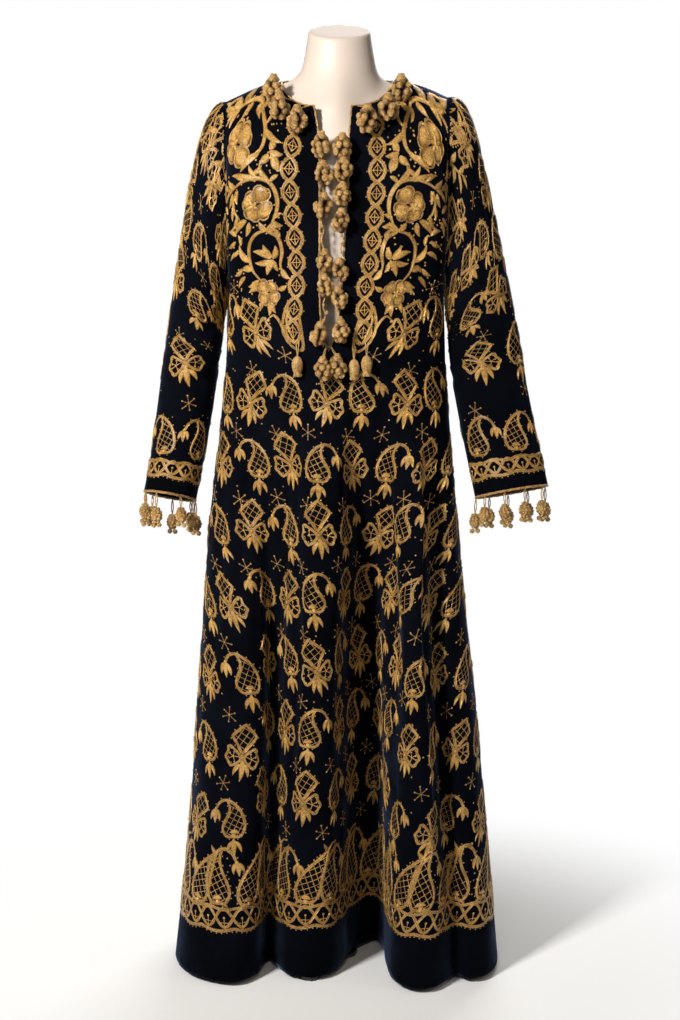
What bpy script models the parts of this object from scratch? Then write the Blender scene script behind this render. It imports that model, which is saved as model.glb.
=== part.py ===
"""Embroidered velvet dress standing on a limbless dress form, in metres, +Z up."""
import math

import bmesh
import bpy
import numpy as np

# Cloth thickness, the gap at a seam and the main levels of the dress
CLOTH = 0.002
SEAM_GAP = 0.0003
HEM_Z = 0.010
UNDERARM_Z = 1.110
BUST_Z = 1.300
SLIT_BOTTOM_Z = 1.022
NECK_POINT_SHARE = 0.575
ELBOW_Z = 1.000

# How the skirt's folds grow from their top down to the hem, with a swell in the middle
FOLD_TOP_Z = 0.960
FOLD_POWER = 0.95
FOLD_SWELL = 0.18
FOLD_SWELL_TOP_Z = 0.825
FOLD_SWELL_RUN = 0.26
# A standing fold keeps its full height near its middle and is gone at its edges
FOLD_EDGE = 1.45
FOLD_SLOPE = 0.80
# The small rise of the hem between two front folds
HEM_LIFT = 0.007
HEM_LIFT_TURN = 0.618
HEM_LIFT_SPREAD = 0.048
HEM_LIFT_REACH = 0.25

# The yoke above the underarm: where its bust line lies and how the cloth passes it
BUST_RISE = 0.55
BUST_HALF = 0.176
BUST_DEPTH = 0.114
BUST_NARROWING = {-1: 0.062, 1: 0.054}
BUST_SAG = 0.020
UNDERARM_RUN = 0.190
UNDERARM_LEAN = 0.105
BUST_RUN = 0.165
BUST_LEAN = 0.012
SLIT_SHARE = 0.60

# The cord, the braids and the drops
CORD_RADIUS = 0.0016
CORD_STEP = 0.013
BRAID_RADIUS = 0.0022
CORD_SIDES = 4
CHAIN_DROP_RADIUS = 0.0095
DROP_UNIT = 0.0110

# The stand
POLE_RADIUS = 0.0125
BASE_THICK = 0.006
BASE_REACH = 0.142
BASE_ARM_WIDTH = 0.028
BASE_TIP = 0.006
POLE_SIDES = 16
BASE_HUB_RADIUS = 0.034
BASE_TURNS = (-110.0, 52.0, 160.0)

# How finely the cloth is divided: rows below the opening, rises above the underarm, columns
SKIRT_ROWS = 10
SLIT_ROWS = (SLIT_BOTTOM_Z, 1.055, 1.085)
SKIRT_ROW_TOP_Z = 0.93
YOKE_RISES = (0.0, 0.14, 0.28, 0.42, 0.55, 0.66, 0.77, 0.87, 0.95, 1.0)
FRONT_COLUMNS = 24
BACK_COLUMNS = 17
SLEEVE_ROWS = 8
CUFF_ROWS = 4

# The smooth body of the dress: half widths and half depths at each height
BODY = {
    "height": (0.010, 0.090, 0.160, 0.300, 0.440, 0.570, 0.740, 0.870, 1.000, 1.110),
    "left": (0.270, 0.261, 0.253, 0.240, 0.231, 0.221, 0.210, 0.194, 0.181, 0.176),
    "right": (0.271, 0.264, 0.257, 0.244, 0.231, 0.215, 0.199, 0.187, 0.177, 0.174),
    "front": (0.142, 0.141, 0.140, 0.137, 0.134, 0.131, 0.127, 0.123, 0.119, 0.118),
    "back": (0.146, 0.144, 0.142, 0.137, 0.132, 0.126, 0.118, 0.112, 0.108, 0.108),
}

# The hem seen from above; turn runs 0 left seam, 0.5 front, 1 right seam, 1.5 back
HEM = {
    "turn": (
        0.000, 0.045, 0.090, 0.135, 0.185, 0.225, 0.262, 0.290, 0.320, 0.360, 0.410,
        0.460, 0.505, 0.550, 0.595, 0.628, 0.658, 0.700, 0.740, 0.780, 0.818, 0.850,
        0.872, 0.900, 0.938, 0.972, 1.000, 1.060, 1.120, 1.175, 1.220, 1.250, 1.280,
        1.345, 1.415, 1.465, 1.500, 1.535, 1.590, 1.650, 1.705, 1.745, 1.785, 1.850,
        1.930,
    ),
    "across": (
        -0.271, -0.270, -0.250, -0.209, -0.160, -0.132, -0.123, -0.115, -0.104, -0.084,
        -0.048, -0.012, 0.008, 0.020, 0.042, 0.065, 0.077, 0.081, 0.091, 0.119, 0.157,
        0.182, 0.192, 0.210, 0.245, 0.266, 0.271, 0.258, 0.222, 0.182, 0.156, 0.141,
        0.126, 0.086, 0.041, 0.012, 0.000, -0.014, -0.048, -0.094, -0.131, -0.148,
        -0.168, -0.215, -0.258,
    ),
    "depth": (
        0.012, -0.045, -0.112, -0.153, -0.163, -0.130, -0.082, -0.058, -0.079, -0.124,
        -0.141, -0.125, -0.080, -0.030, 0.014, 0.030, -0.006, -0.080, -0.155, -0.193,
        -0.187, -0.148, -0.131, -0.147, -0.131, -0.072, 0.012, 0.082, 0.138, 0.150,
        0.125, 0.113, 0.134, 0.182, 0.182, 0.146, 0.114, 0.142, 0.182, 0.184, 0.150,
        0.117, 0.136, 0.150, 0.094,
    ),
}

# Standing folds of the front: where they run by turn, how wide and far out they stand, and
# between which heights they grow and fade
FRONT_FOLDS = {
    "top_turn": (0.474, 0.722),
    "hem_turn": (0.410, 0.785),
    "half": (0.047, 0.050),
    "out": (0.024, 0.022),
    "start": (0.965, 0.900),
    "full": (0.830, 0.740),
    "fade": (0.480, 0.460),
    "end": (0.060, 0.060),
}

# How far the two edges of the front opening stand from the middle
SLIT = {
    "height": (0.80, 0.95, 1.022, 1.034, 1.050, 1.075, 1.160, 1.240, 1.300, 1.350, 1.405),
    "left": (0.0, -0.008, -0.0125, -0.0190, -0.0240, -0.0265, -0.0280, -0.0280, -0.0280,
             -0.0285, -0.0360),
    "right": (0.0, -0.008, -0.0125, -0.0070, -0.0020, 0.0030, 0.0110, 0.0155, 0.0195,
              0.0195, 0.0240),
}

# Neckline in front and behind and the shoulder seam, by share from middle to armhole
FRONT_NECK = {
    "share": (0.0, 0.090, 0.145, 0.235, 0.380, 0.500, 0.575),
    "across": (0.0, 0.0230, 0.0373, 0.0563, 0.0782, 0.0882, 0.0905),
    "depth": (-0.088, -0.077, -0.067, -0.052, -0.026, -0.004, 0.010),
    "height": (1.405, 1.4065, 1.410, 1.4165, 1.432, 1.4445, 1.4510),
}
BACK_NECK = {
    "share": (0.0, 0.150, 0.300, 0.450, 0.520, 0.575),
    "across": (0.0, 0.030, 0.057, 0.080, 0.0875, 0.0905),
    "depth": (0.086, 0.083, 0.071, 0.045, 0.027, 0.010),
    "height": (1.456, 1.4565, 1.457, 1.455, 1.453, 1.4510),
}
SHOULDER = {
    "share": (0.575, 0.680, 0.785, 0.880, 1.0),
    "across": (0.0905, 0.112, 0.135, 0.155, 0.178),
    "depth": (0.010, 0.012, 0.013, 0.012, 0.010),
    "height": (1.4510, 1.4465, 1.437, 1.427, 1.416),
}
# How much higher each shoulder stands at the armhole than that line
SHOULDER_LIFT = {"left": 0.0040, "right": 0.0110}
# The way the cloth runs as it arrives at that top edge
ARRIVAL = {
    "share": (0.0, 0.145, 0.235, 0.380, 0.500, 0.575, 0.680, 0.785, 1.0),
    "across": (0.0, -0.020, -0.045, -0.085, -0.110, -0.095, -0.030, 0.0, 0.0),
    "depth": (0.028, 0.048, 0.058, 0.070, 0.090, 0.125, 0.170, 0.190, 0.200),
    "height": (0.105, 0.100, 0.095, 0.085, 0.070, 0.050, 0.030, 0.020, 0.020),
}

# The sleeves: elbow ring, cuff ring and how the cap leaves the armhole
SLEEVES = {
    "side": (-1.0, 1.0),
    "elbow_across": (0.2385, 0.2450),
    "elbow_half_width": (0.0455, 0.0595),
    "elbow_half_depth": (0.0620, 0.0520),
    "cuff_across": (0.2705, 0.2830),
    "cuff_depth": (-0.050, -0.050),
    "cuff_height": (0.7880, 0.7950),
    "cuff_half_width": (0.0420, 0.0590),
    "cuff_half_depth": (0.0580, 0.0440),
    "cap": (0.208, 0.218),
    "head": (0.0045, 0.0090),
}
CUFF_TILT_OUT = 0.17
CUFF_TILT_FRONT = 0.20
ELBOW_TILT = 0.10
# How a sleeve leaves the armhole and which way it runs at the elbow and at the cuff
ARMHOLE_RUN = 0.012
ELBOW_WAY = (0.13, -0.03, -0.985)
CUFF_WAY = (0.17, -0.34, -0.92)
FOREARM_RUN = 0.21

# The dress form: its torso below the shoulders and its neck above them
TORSO = {
    "height": (0.800, 0.804, 0.880, 0.960, 1.050, 1.140, 1.230),
    "half": (0.138, 0.146, 0.152, 0.146, 0.124, 0.134, 0.150),
    "front": (-0.084, -0.092, -0.098, -0.094, -0.080, -0.088, -0.100),
    "back": (0.090, 0.098, 0.106, 0.100, 0.080, 0.088, 0.097),
}
NECK = {
    "height": (1.478, 1.496, 1.514, 1.5285, 1.5310),
    "half": (0.0590, 0.0555, 0.0525, 0.0508, 0.0484),
    "front": (-0.0430, -0.0415, -0.0395, -0.0375, -0.0350),
    "back": (0.0600, 0.0570, 0.0540, 0.0520, 0.0495),
    "tilt": (0.10, 0.22, 0.33, 0.37, 0.37),
}
FORM_SHARES = (0.0, 0.12, 0.24, 0.36, 0.47, 0.575, 0.64, 0.72, 0.81, 0.90, 1.0)
FORM_REST = 0.0004
FORM_NECK_CLEAR = 0.0012
FORM_CHEST_CLEAR = 0.0045
ARM_PLATE_INSET = 0.080
NECK_ASIDE = 0.004

# Tassels on the neck cord: across and height of each one's middle, and its radius
NECK_TASSELS = {
    "across": (-0.100, -0.090, -0.062, 0.102, 0.081, 0.048, -0.024, 0.009, -0.021, 0.010,
               0.009, -0.020, 0.007, -0.019, 0.004, -0.019, 0.003, -0.0270, 0.0065,
               -0.0220, 0.0005),
    "height": (1.434, 1.402, 1.380, 1.435, 1.400, 1.382, 1.340, 1.338, 1.296, 1.303, 1.264,
               1.247, 1.223, 1.162, 1.148, 1.124, 1.104, 1.048, 1.053, 0.994, 0.998),
    "radius": (0.0125, 0.0130, 0.0130, 0.0125, 0.0130, 0.0130, 0.0120, 0.0120, 0.0115,
               0.0115, 0.0115, 0.0115, 0.0115, 0.0105, 0.0105, 0.0105, 0.0105, 0.0110,
               0.0110, 0.0110, 0.0110),
}
# Tassels that hang from the ends of the embroidered chains: name, across, height
CHAIN_TASSELS = (
    ("chain_tassel_left", -0.062, 1.000),
    ("chain_tassel_right", 0.047, 1.001),
    ("chain_tassel_inner", 0.027, 0.995),
)
CUFF_TASSELS = 9
# A cuff tassel below its braid: how far down and how wide each of its rings is
CUFF_DROP = ((0.003, 0.0013), (0.013, 0.0013), (0.017, 0.0060), (0.027, 0.0110),
             (0.038, 0.0075), (0.043, 0.0028), (0.049, 0.0075), (0.055, 0.0040))


def spline(knots, values, at, ring=0.0):
    """A smooth curve through a table's column; ring is the length of a closed one."""
    knots = np.asarray(knots, float)
    values = np.asarray(values, float)
    if ring:
        knots = np.concatenate([knots[-3:] - ring, knots, knots[:3] + ring])
        values = np.concatenate([values[-3:], values, values[:3]])
    at = np.asarray(at, float)
    rise = np.diff(values) / np.diff(knots)
    slope = np.empty_like(values)
    slope[1:-1] = (rise[1:] * np.diff(knots)[:-1] + rise[:-1] * np.diff(knots)[1:]) / (
        knots[2:] - knots[:-2]
    )
    slope[0] = rise[0]
    slope[-1] = rise[-1]
    place = np.clip(np.searchsorted(knots, at, side="right") - 1, 0, len(knots) - 2)
    width = knots[place + 1] - knots[place]
    part = np.clip((at - knots[place]) / width, 0.0, 1.0)
    return hermite(
        values[place], slope[place] * width, values[place + 1], slope[place + 1] * width, part
    )


def hermite(start, start_run, end, end_run, part):
    """The cubic between two ends with a given run at each."""
    square = part * part
    cube = square * part
    return (
        start * (2 * cube - 3 * square + 1)
        + start_run * (cube - 2 * square + part)
        + end * (3 * square - 2 * cube)
        + end_run * (cube - square)
    )


def ease(value):
    """A soft step from 0 to 1."""
    value = np.clip(value, 0.0, 1.0)
    return value * value * (3 - 2 * value)


def unit(vectors):
    """Vectors of length one."""
    length = np.linalg.norm(vectors, axis=-1, keepdims=True)
    return vectors / np.maximum(length, 1e-12)


def stack(*parts):
    """Points from their three parts."""
    return np.stack(np.broadcast_arrays(*parts), axis=-1)


def table_line(table, side, share):
    """Points along a line given by a table, on one side."""
    return stack(
        side * spline(table["share"], table["across"], share),
        spline(table["share"], table["depth"], share),
        spline(table["share"], table["height"], share),
    )


def body_ring(turn, height):
    """The smooth flared ring of the dress before its folds."""
    angle = (turn - 0.5) * math.pi
    wide = {
        name: np.interp(height, BODY["height"], BODY[name])
        for name in ("left", "right", "front", "back")
    }
    across = np.sin(angle) * np.where(np.sin(angle) < 0, wide["left"], wide["right"])
    depth = -np.cos(angle) * np.where(np.cos(angle) > 0, wide["front"], wide["back"])
    return stack(across, depth, height)


def skirt(turn, height):
    """The dress below the underarm, with its folds growing down to the hem."""
    smooth = body_ring(turn, height)
    flat = body_ring(turn, np.full_like(height, HEM_Z))
    turns = np.mod(turn, 2.0)
    across = spline(HEM["turn"], HEM["across"], turns, 2.0) - flat[..., 0]
    depth = spline(HEM["turn"], HEM["depth"], turns, 2.0) - flat[..., 1]
    grown = np.clip((FOLD_TOP_Z - height) / (FOLD_TOP_Z - HEM_Z), 0.0, 1.0) ** FOLD_POWER
    grown += (
        FOLD_SWELL
        * ease((FOLD_SWELL_TOP_Z - height) / FOLD_SWELL_RUN)
        * ease((height - HEM_Z) / (2 * FOLD_SWELL_RUN))
    )
    across = across * grown
    depth = depth * grown
    angle = (turns - 0.5) * math.pi
    part = (height - HEM_Z) / (FOLD_TOP_Z - HEM_Z)
    for top, low, half, out, start, full, fade, end in zip(*FRONT_FOLDS.values()):
        aside = np.abs(turns - low - (top - low) * part) / half
        out = out * ease((FOLD_EDGE - aside) / FOLD_SLOPE) * ease((start - height) / (start - full))
        out = out * ease((height - end) / (fade - end))
        across = across + np.sin(angle) * out
        depth = depth - np.cos(angle) * out
    near = np.exp(-(((turns - HEM_LIFT_TURN) / HEM_LIFT_SPREAD) ** 2))
    lift = HEM_LIFT * near * np.clip(1 - (height - HEM_Z) / HEM_LIFT_REACH, 0.0, 1.0) ** 2
    return smooth + stack(across, depth, lift)


def slit_shift(side, share, height):
    """The sideways move of the front's middle that makes its opening."""
    name = "left" if side < 0 else "right"
    reach = np.clip(1 - share / SLIT_SHARE, 0.0, 1.0) ** 2
    return spline(SLIT["height"], SLIT[name], height) * reach


def yoke(side, face, share, rise):
    """The dress above the underarm: share 0 middle to 1 armhole, rise 0 to 1."""
    turn = 0.5 + side * share / 2 if face < 0 else 1.5 - side * share / 2
    low = body_ring(turn, np.full_like(share, UNDERARM_Z))
    edge = ease((share - 0.45) / 0.55)
    low_run = stack(0.0, face * UNDERARM_LEAN * edge, UNDERARM_RUN - 0.060 * edge)
    sine = np.sin(share * math.pi / 2)
    swell = BUST_DEPTH - BUST_NARROWING[face] * share**3
    bust = stack(side * BUST_HALF * sine, face * swell, BUST_Z - BUST_SAG * share**4)
    bust_run = stack(0.0, -face * BUST_LEAN * (1 - edge), BUST_RUN)
    neck = FRONT_NECK if face < 0 else BACK_NECK
    top = np.where(
        (share < NECK_POINT_SHARE)[..., None],
        table_line(neck, side, share),
        table_line(SHOULDER, side, share),
    )
    lift = SHOULDER_LIFT["left" if side < 0 else "right"]
    top[..., 2] += lift * ease((share - 0.50) / 0.42)
    top_run = stack(
        side * spline(ARRIVAL["share"], ARRIVAL["across"], share),
        -face * spline(ARRIVAL["share"], ARRIVAL["depth"], share),
        spline(ARRIVAL["share"], ARRIVAL["height"], share),
    )
    below = np.minimum(rise, BUST_RISE) / BUST_RISE
    above = (np.maximum(rise, BUST_RISE) - BUST_RISE) / (1 - BUST_RISE)
    first = hermite(low, low_run, bust, bust_run, below[..., None])
    second = hermite(bust, bust_run, top, top_run, above[..., None])
    return np.where((rise < BUST_RISE)[..., None], first, second)


def panel(side, face, shares, heights, rises):
    """Half a front or back panel as a grid of points from hem to top edge."""
    share, height = np.meshgrid(shares, np.asarray(heights, float))
    turn = 0.5 + side * share / 2 if face < 0 else 1.5 - side * share / 2
    low = skirt(turn, height)
    share, rise = np.meshgrid(shares, rises)
    high = yoke(side, face, share, rise)
    grid = np.concatenate([low, high])
    if face < 0:
        share = np.broadcast_to(np.asarray(shares), grid.shape[:2])
        grid[..., 0] += slit_shift(side, share, grid[..., 2])
    return grid


def sleeve(index, loop, rows, cuff_rows):
    """A sleeve from its armhole loop to its cuff; loop starts under the arm, front first."""
    side = SLEEVES["side"][index]
    get = {name: SLEEVES[name][index] for name in SLEEVES}
    count = len(loop)
    turn = np.arange(count) * 2 * math.pi / count
    out = -np.cos(turn)
    back = -np.sin(turn)
    elbow = stack(
        side * (get["elbow_across"] + get["elbow_half_width"] * out),
        get["elbow_half_depth"] * back,
        ELBOW_Z + ELBOW_TILT * get["elbow_half_width"] * out,
    )
    cuff = stack(
        side * (get["cuff_across"] + get["cuff_half_width"] * out),
        get["cuff_depth"] + get["cuff_half_depth"] * back,
        get["cuff_height"]
        + CUFF_TILT_OUT * get["cuff_half_width"] * out
        - CUFF_TILT_FRONT * get["cuff_half_depth"] * back,
    )
    rise = (1 + out) / 2
    leave = stack(
        side * (ARMHOLE_RUN + (get["cap"] - ARMHOLE_RUN) * rise),
        0.06 * back * np.sin(turn) ** 2,
        -0.10 - 0.08 * np.sin(turn) ** 2,
    )
    drop = np.linalg.norm(loop - elbow, axis=-1)[:, None]
    turned = np.array([side, 1.0, 1.0])
    arrive = np.array(ELBOW_WAY) * turned * drop
    points = []
    for part in np.linspace(0, 1, rows + 1):
        row = hermite(loop, leave, elbow, arrive, part)
        swell = get["head"] * np.sin(2 * math.pi * math.sqrt(part)) * rise**2
        points.append(row + stack(side * swell, 0.0, 0.4 * swell))
    start = np.array(ELBOW_WAY) * turned * FOREARM_RUN
    finish = np.array(CUFF_WAY) * turned * FOREARM_RUN
    for part in np.linspace(0, 1, cuff_rows + 1)[1:]:
        points.append(hermite(elbow, start, cuff, finish, part))
    return np.array(points)


def panel_shares(count):
    """Even shares across half a panel, one of them at the neck point."""
    shares = np.linspace(0, 1, count + 1)
    shares[np.abs(shares - NECK_POINT_SHARE).argmin()] = NECK_POINT_SHARE
    return shares


def grid_normals(grid, closed=False):
    """The outward normals of a grid whose rows rise and whose columns run to one side."""
    if closed:
        along = np.roll(grid, -1, axis=1) - np.roll(grid, 1, axis=1)
    else:
        along = np.gradient(grid, axis=1)
    up = np.gradient(grid, axis=0)
    return unit(np.cross(along, up))


def material(name, colour, roughness, metallic=0.0, sheen=0.0):
    """A plain material."""
    made = bpy.data.materials.new(name)
    made.use_nodes = True
    shader = made.node_tree.nodes["Principled BSDF"]
    shader.inputs["Base Color"].default_value = (*colour, 1.0)
    shader.inputs["Roughness"].default_value = roughness
    shader.inputs["Metallic"].default_value = metallic
    shader.inputs["Sheen Weight"].default_value = sheen
    made.diffuse_color = (*colour, 1.0)
    return made


def add(name, points, faces, dress):
    """One named closed body with its faces turned out."""
    mesh = bpy.data.meshes.new(name)
    mesh.from_pydata([tuple(map(float, point)) for point in points], [], faces)
    work = bmesh.new()
    work.from_mesh(mesh)
    bmesh.ops.recalc_face_normals(work, faces=work.faces)
    work.to_mesh(mesh)
    work.free()
    for face in mesh.polygons:
        face.use_smooth = True
    mesh.materials.append(dress)
    body = bpy.data.objects.new(name, mesh)
    bpy.context.scene.collection.objects.link(body)
    return body


def thicken(name, points, normals, quads, dress):
    """Cloth: an outer face, an inner face one thickness in and its edges closed."""
    count = len(points)
    outer = [(quad[0], quad[1], quad[2]) for quad in quads]
    outer += [(quad[0], quad[2], quad[3]) for quad in quads]
    faces = list(outer)
    edges = {}
    for quad in quads:
        for first, second in zip(quad, quad[1:] + quad[:1]):
            edges[(first, second)] = edges.get((second, first), 0) + 1
    rim = [edge for edge in edges if (edge[1], edge[0]) not in edges]
    faces += [tuple(count + point for point in reversed(face)) for face in outer]
    faces += [(second, first, count + first, count + second) for first, second in rim]
    inner = points - normals * CLOTH
    return add(name, np.concatenate([points, inner]), faces, dress)


def part_seam(line, normals, inside, closed=False):
    """The step, half a seam gap long, that takes a seam line to the side of inside."""
    if closed:
        run = np.roll(line, -1, axis=0) - np.roll(line, 1, axis=0)
    else:
        run = np.gradient(line, axis=0)
    step = unit(np.cross(run, normals))
    return step * np.sign((step * inside).sum(axis=1, keepdims=True)) * SEAM_GAP / 2


def tube(path, out, radius, sides, points, faces):
    """A closed round cord along a path; out points away from the cloth along it."""
    first = len(points)
    count = len(path)
    for place in range(count):
        run = unit(path[(place + 1) % count] - path[place - 1])
        side = unit(np.cross(run, out[place]))
        other = np.cross(side, run)
        for step in range(sides):
            angle = 2 * math.pi * (step + 0.5) / sides
            around = math.cos(angle) * side + math.sin(angle) * other
            points.append(path[place] + radius * around)
    for place in range(count):
        after = (place + 1) % count
        for step in range(sides):
            beside = (step + 1) % sides
            faces.append((first + place * sides + step, first + after * sides + step,
                          first + after * sides + beside, first + place * sides + beside))


def face_out(points, face):
    """The middle of a four-sided face and the way it looks."""
    corners = np.array([points[corner] for corner in face])
    look = unit(np.cross(corners[2] - corners[0], corners[3] - corners[1]))
    return corners.mean(axis=0), look


def hang(points, faces, root, rings):
    """A tassel of four sides grown out of one face of its backing, ring by ring."""
    faces.remove(root)
    last = list(root)
    centre, look = face_out(points, root)
    corner = points[root[0]] - centre
    for place, (middle, radius) in enumerate(rings):
        middle = np.asarray(middle)
        after = np.asarray(rings[place + 1][0]) if place + 1 < len(rings) else middle
        way = unit(unit(middle - centre) + unit(after - middle + 1e-9 * look))
        first = unit(corner - way * (corner @ way))
        second = np.cross(way, first)
        ring = []
        for offset in (first, second, -first, -second):
            points.append(middle + radius * offset)
            ring.append(len(points) - 1)
        for step in range(4):
            beside = (step + 1) % 4
            faces.append((last[step], last[beside], ring[beside], ring[step]))
        last = ring
        centre = middle
        corner = first
    faces.append(tuple(last))


def build_cloth(velvet):
    """The front, the back and both sleeves, each apart from the next by the seam gap."""
    shares = panel_shares(FRONT_COLUMNS)
    back_shares = panel_shares(BACK_COLUMNS)
    low = list(np.linspace(HEM_Z, SKIRT_ROW_TOP_Z, SKIRT_ROWS)) + list(SLIT_ROWS)
    rises = np.array(YOKE_RISES)
    grids = {}
    normals = {}
    for side in (-1, 1):
        for face in (-1, 1):
            columns = shares if face < 0 else back_shares
            grid = panel(side, face, columns, low, rises)
            grids[side, face] = grid
            normals[side, face] = grid_normals(grid) * -side * face
    sleeves = []
    for index, side in enumerate((-1, 1)):
        front = grids[side, -1]
        back = grids[side, 1]
        first = len(low)
        loop = np.concatenate([front[first:, -1], back[first:, -1][-2:0:-1]])
        grid = sleeve(index, loop, SLEEVE_ROWS, CUFF_ROWS)
        normal = grid_normals(grid, closed=True) * -side
        body = np.concatenate(
            [normals[side, -1][first:, -1], normals[side, 1][first:, -1][-2:0:-1]]
        )
        under = ease((UNDERARM_Z + 0.09 - loop[:, 2:]) / 0.09)
        shared = unit(normal[0] + body + np.array([0.0, 0.0, -0.5]) * under)
        normal[0] = shared
        rows = len(rises)
        back_rows = np.concatenate([[0], np.arange(len(loop) - 1, rows - 2, -1)])
        step = part_seam(loop, shared, np.array([-side, 0.0, 0.0]), closed=True)
        grid[0] -= step
        sleeves.append((grid, normal))
        seam = unit(normals[side, -1][:first, -1] + normals[side, 1][:first, -1])
        for face, rows_used in ((-1, np.arange(rows)), (1, back_rows)):
            columns = shares if face < 0 else back_shares
            panel_grid = grids[side, face]
            panel_normals = normals[side, face]
            panel_normals[:first, -1] = seam
            panel_normals[first:, -1] = shared[rows_used]
            keep = columns >= NECK_POINT_SHARE - 1e-6
            tops = panel_normals[-1]
            tops[keep] = unit(tops[keep] * (1, 0, 1))
            panel_grid[first:, -1] += step[rows_used]
            apart = np.array([0.0, face * SEAM_GAP / 2, 0.0])
            panel_grid[: first + 1, -1] += apart
            panel_grid[-1, keep] += apart
    join_halves("front", grids, normals, -1, low.index(SLIT_BOTTOM_Z), velvet)
    join_halves("back", grids, normals, 1, len(low) + len(rises), velvet)
    for index, name in enumerate(("sleeve_left", "sleeve_right")):
        grid, normal = sleeves[index]
        rows, count = grid.shape[:2]
        quads = []
        for row in range(rows - 1):
            for place in range(count):
                beside = (place + 1) % count
                quads.append(
                    (row * count + place, row * count + beside,
                     (row + 1) * count + beside, (row + 1) * count + place)
                )
        thicken(name, grid.reshape(-1, 3), normal.reshape(-1, 3), quads, velvet)
    return grids, normals, sleeves


def join_halves(name, grids, normals, face, joined_rows, velvet):
    """The two halves of a panel as one piece, apart above joined_rows for the opening."""
    left = grids[-1, face]
    right = grids[1, face]
    rows, count = left.shape[:2]
    points = np.concatenate([left.reshape(-1, 3), right.reshape(-1, 3)])
    normal = np.concatenate([normals[-1, face].reshape(-1, 3), normals[1, face].reshape(-1, 3)])
    number = np.arange(2 * rows * count).reshape(2, rows, count)
    for row in range(min(joined_rows + 1, rows)):
        middle = unit(normals[-1, face][row, 0] + normals[1, face][row, 0])
        number[1, row, 0] = number[0, row, 0]
        normal[number[0, row, 0]] = middle
        points[number[0, row, 0]] = (left[row, 0] + right[row, 0]) / 2
    used = np.unique(number)
    order = {old: new for new, old in enumerate(used)}
    quads = []
    for half in range(2):
        for row in range(rows - 1):
            for place in range(count - 1):
                corners = (
                    number[half, row, place], number[half, row, place + 1],
                    number[half, row + 1, place + 1], number[half, row + 1, place],
                )
                quad = tuple(order[corner] for corner in corners)
                quads.append(quad if half else quad[::-1])
    thicken(name, points[used], normal[used], quads, velvet)


def rim_path(grids, normals, slit_row):
    """The line round the neckline and down both edges of the opening, and its outward way."""
    picked = []
    rows = grids[-1, -1].shape[0]
    for row in range(slit_row + 1, rows - 1):
        picked.append((-1, -1, row, 0, row, 1))
    for side, face, order in ((-1, -1, 1), (-1, 1, -1), (1, 1, 1), (1, -1, -1)):
        columns = panel_shares(FRONT_COLUMNS if face < 0 else BACK_COLUMNS)
        last = int(np.argmin(np.abs(columns - NECK_POINT_SHARE)))
        places = np.arange(1 if (side, face) == (1, 1) else 0, last + (face < 0))
        for place in places[::order]:
            picked.append((side, face, rows - 1, place, rows - 2, place))
    for row in range(rows - 2, slit_row, -1):
        picked.append((1, -1, row, 0, row, 1))
    edge = np.array([grids[side, face][row, place] for side, face, row, place, _, _ in picked])
    inside = np.array([grids[side, face][row, place] for side, face, _, _, row, place in picked])
    look = np.array([normals[side, face][row, place] for side, face, row, place, _, _ in picked])
    run = unit(np.roll(edge, -1, axis=0) - np.roll(edge, 1, axis=0))
    out = edge - inside
    out = unit(out - run * (out * run).sum(axis=1, keepdims=True))
    path = edge + out * (CORD_RADIUS + SEAM_GAP)
    finer = []
    for place in range(len(path)):
        after = (place + 1) % len(path)
        count = max(1, round(float(np.linalg.norm(path[after] - path[place])) / CORD_STEP))
        for step in range(count):
            part = step / count
            finer.append((path[place] * (1 - part) + path[after] * part,
                          look[place] * (1 - part) + look[after] * part))
    return np.array([pair[0] for pair in finer]), unit(np.array([pair[1] for pair in finer]))


def front_depth(across, height):
    """How far forward the front of the dress stands at a place seen from the front."""
    nearest = (1.0, 0.0)
    shares = np.linspace(0, 1, 120)
    levels = [height] if height < UNDERARM_Z else []
    rises = np.linspace(0, 1, 100) if height > UNDERARM_Z - 0.02 else [0.0]
    for side in (-1, 1):
        points = panel(side, -1, shares, levels, rises).reshape(-1, 3)
        far = (points[:, 0] - across) ** 2 + (points[:, 2] - height) ** 2
        nearest = min(nearest, (far.min(), points[far.argmin(), 1]))
    return nearest[1]


def drop_rings(middle, radius):
    """The rings of a hanging drop, from its top to its tip."""
    table = ((0.0135, 0.45), (0.0060, 1.0), (-0.0050, 0.95), (-0.0130, 0.45))
    size = radius / DROP_UNIT
    return [(middle + np.array([0.0, 0.0, rise * size]), radius * wide) for rise, wide in table]


def build_neck_cord(grids, normals, slit_row, gold):
    """The gold cord along the neckline and opening, with the tassels it carries."""
    path, look = rim_path(grids, normals, slit_row)
    points = []
    faces = []
    tube(path, look, CORD_RADIUS, CORD_SIDES, points, faces)
    for across, height, reach in zip(*(NECK_TASSELS[name] for name in NECK_TASSELS)):
        low = front_depth(across, height - 0.012)
        high = front_depth(across, height + 0.012)
        depth = min(low, high) - reach * 0.75 - 0.0035
        middle = np.array([across, depth, height])
        top = middle + np.array([0.0, 0.0, 0.0135])
        best = None
        for face in faces:
            if max(face) >= len(path) * CORD_SIDES:
                continue
            centre, way = face_out(points, face)
            if way[1] > -0.35:
                continue
            far = np.linalg.norm(centre - top - np.array([0.0, 0.0, 0.006]))
            if best is None or far < best[0]:
                best = (far, face, centre, way)
        _, face, centre, way = best
        stem = [(centre + way * 0.0025, 0.0014)]
        if height < SLIT_BOTTOM_Z:
            aside = -0.0105 + 0.002 * np.sign(across + 0.0105)
            stem.append((np.array([aside, depth + 0.002, SLIT_BOTTOM_Z + 0.004]), 0.0014))
        hang(points, faces, face, stem + drop_rings(middle, reach))
    add("neck_cord", points, faces, gold)


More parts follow.
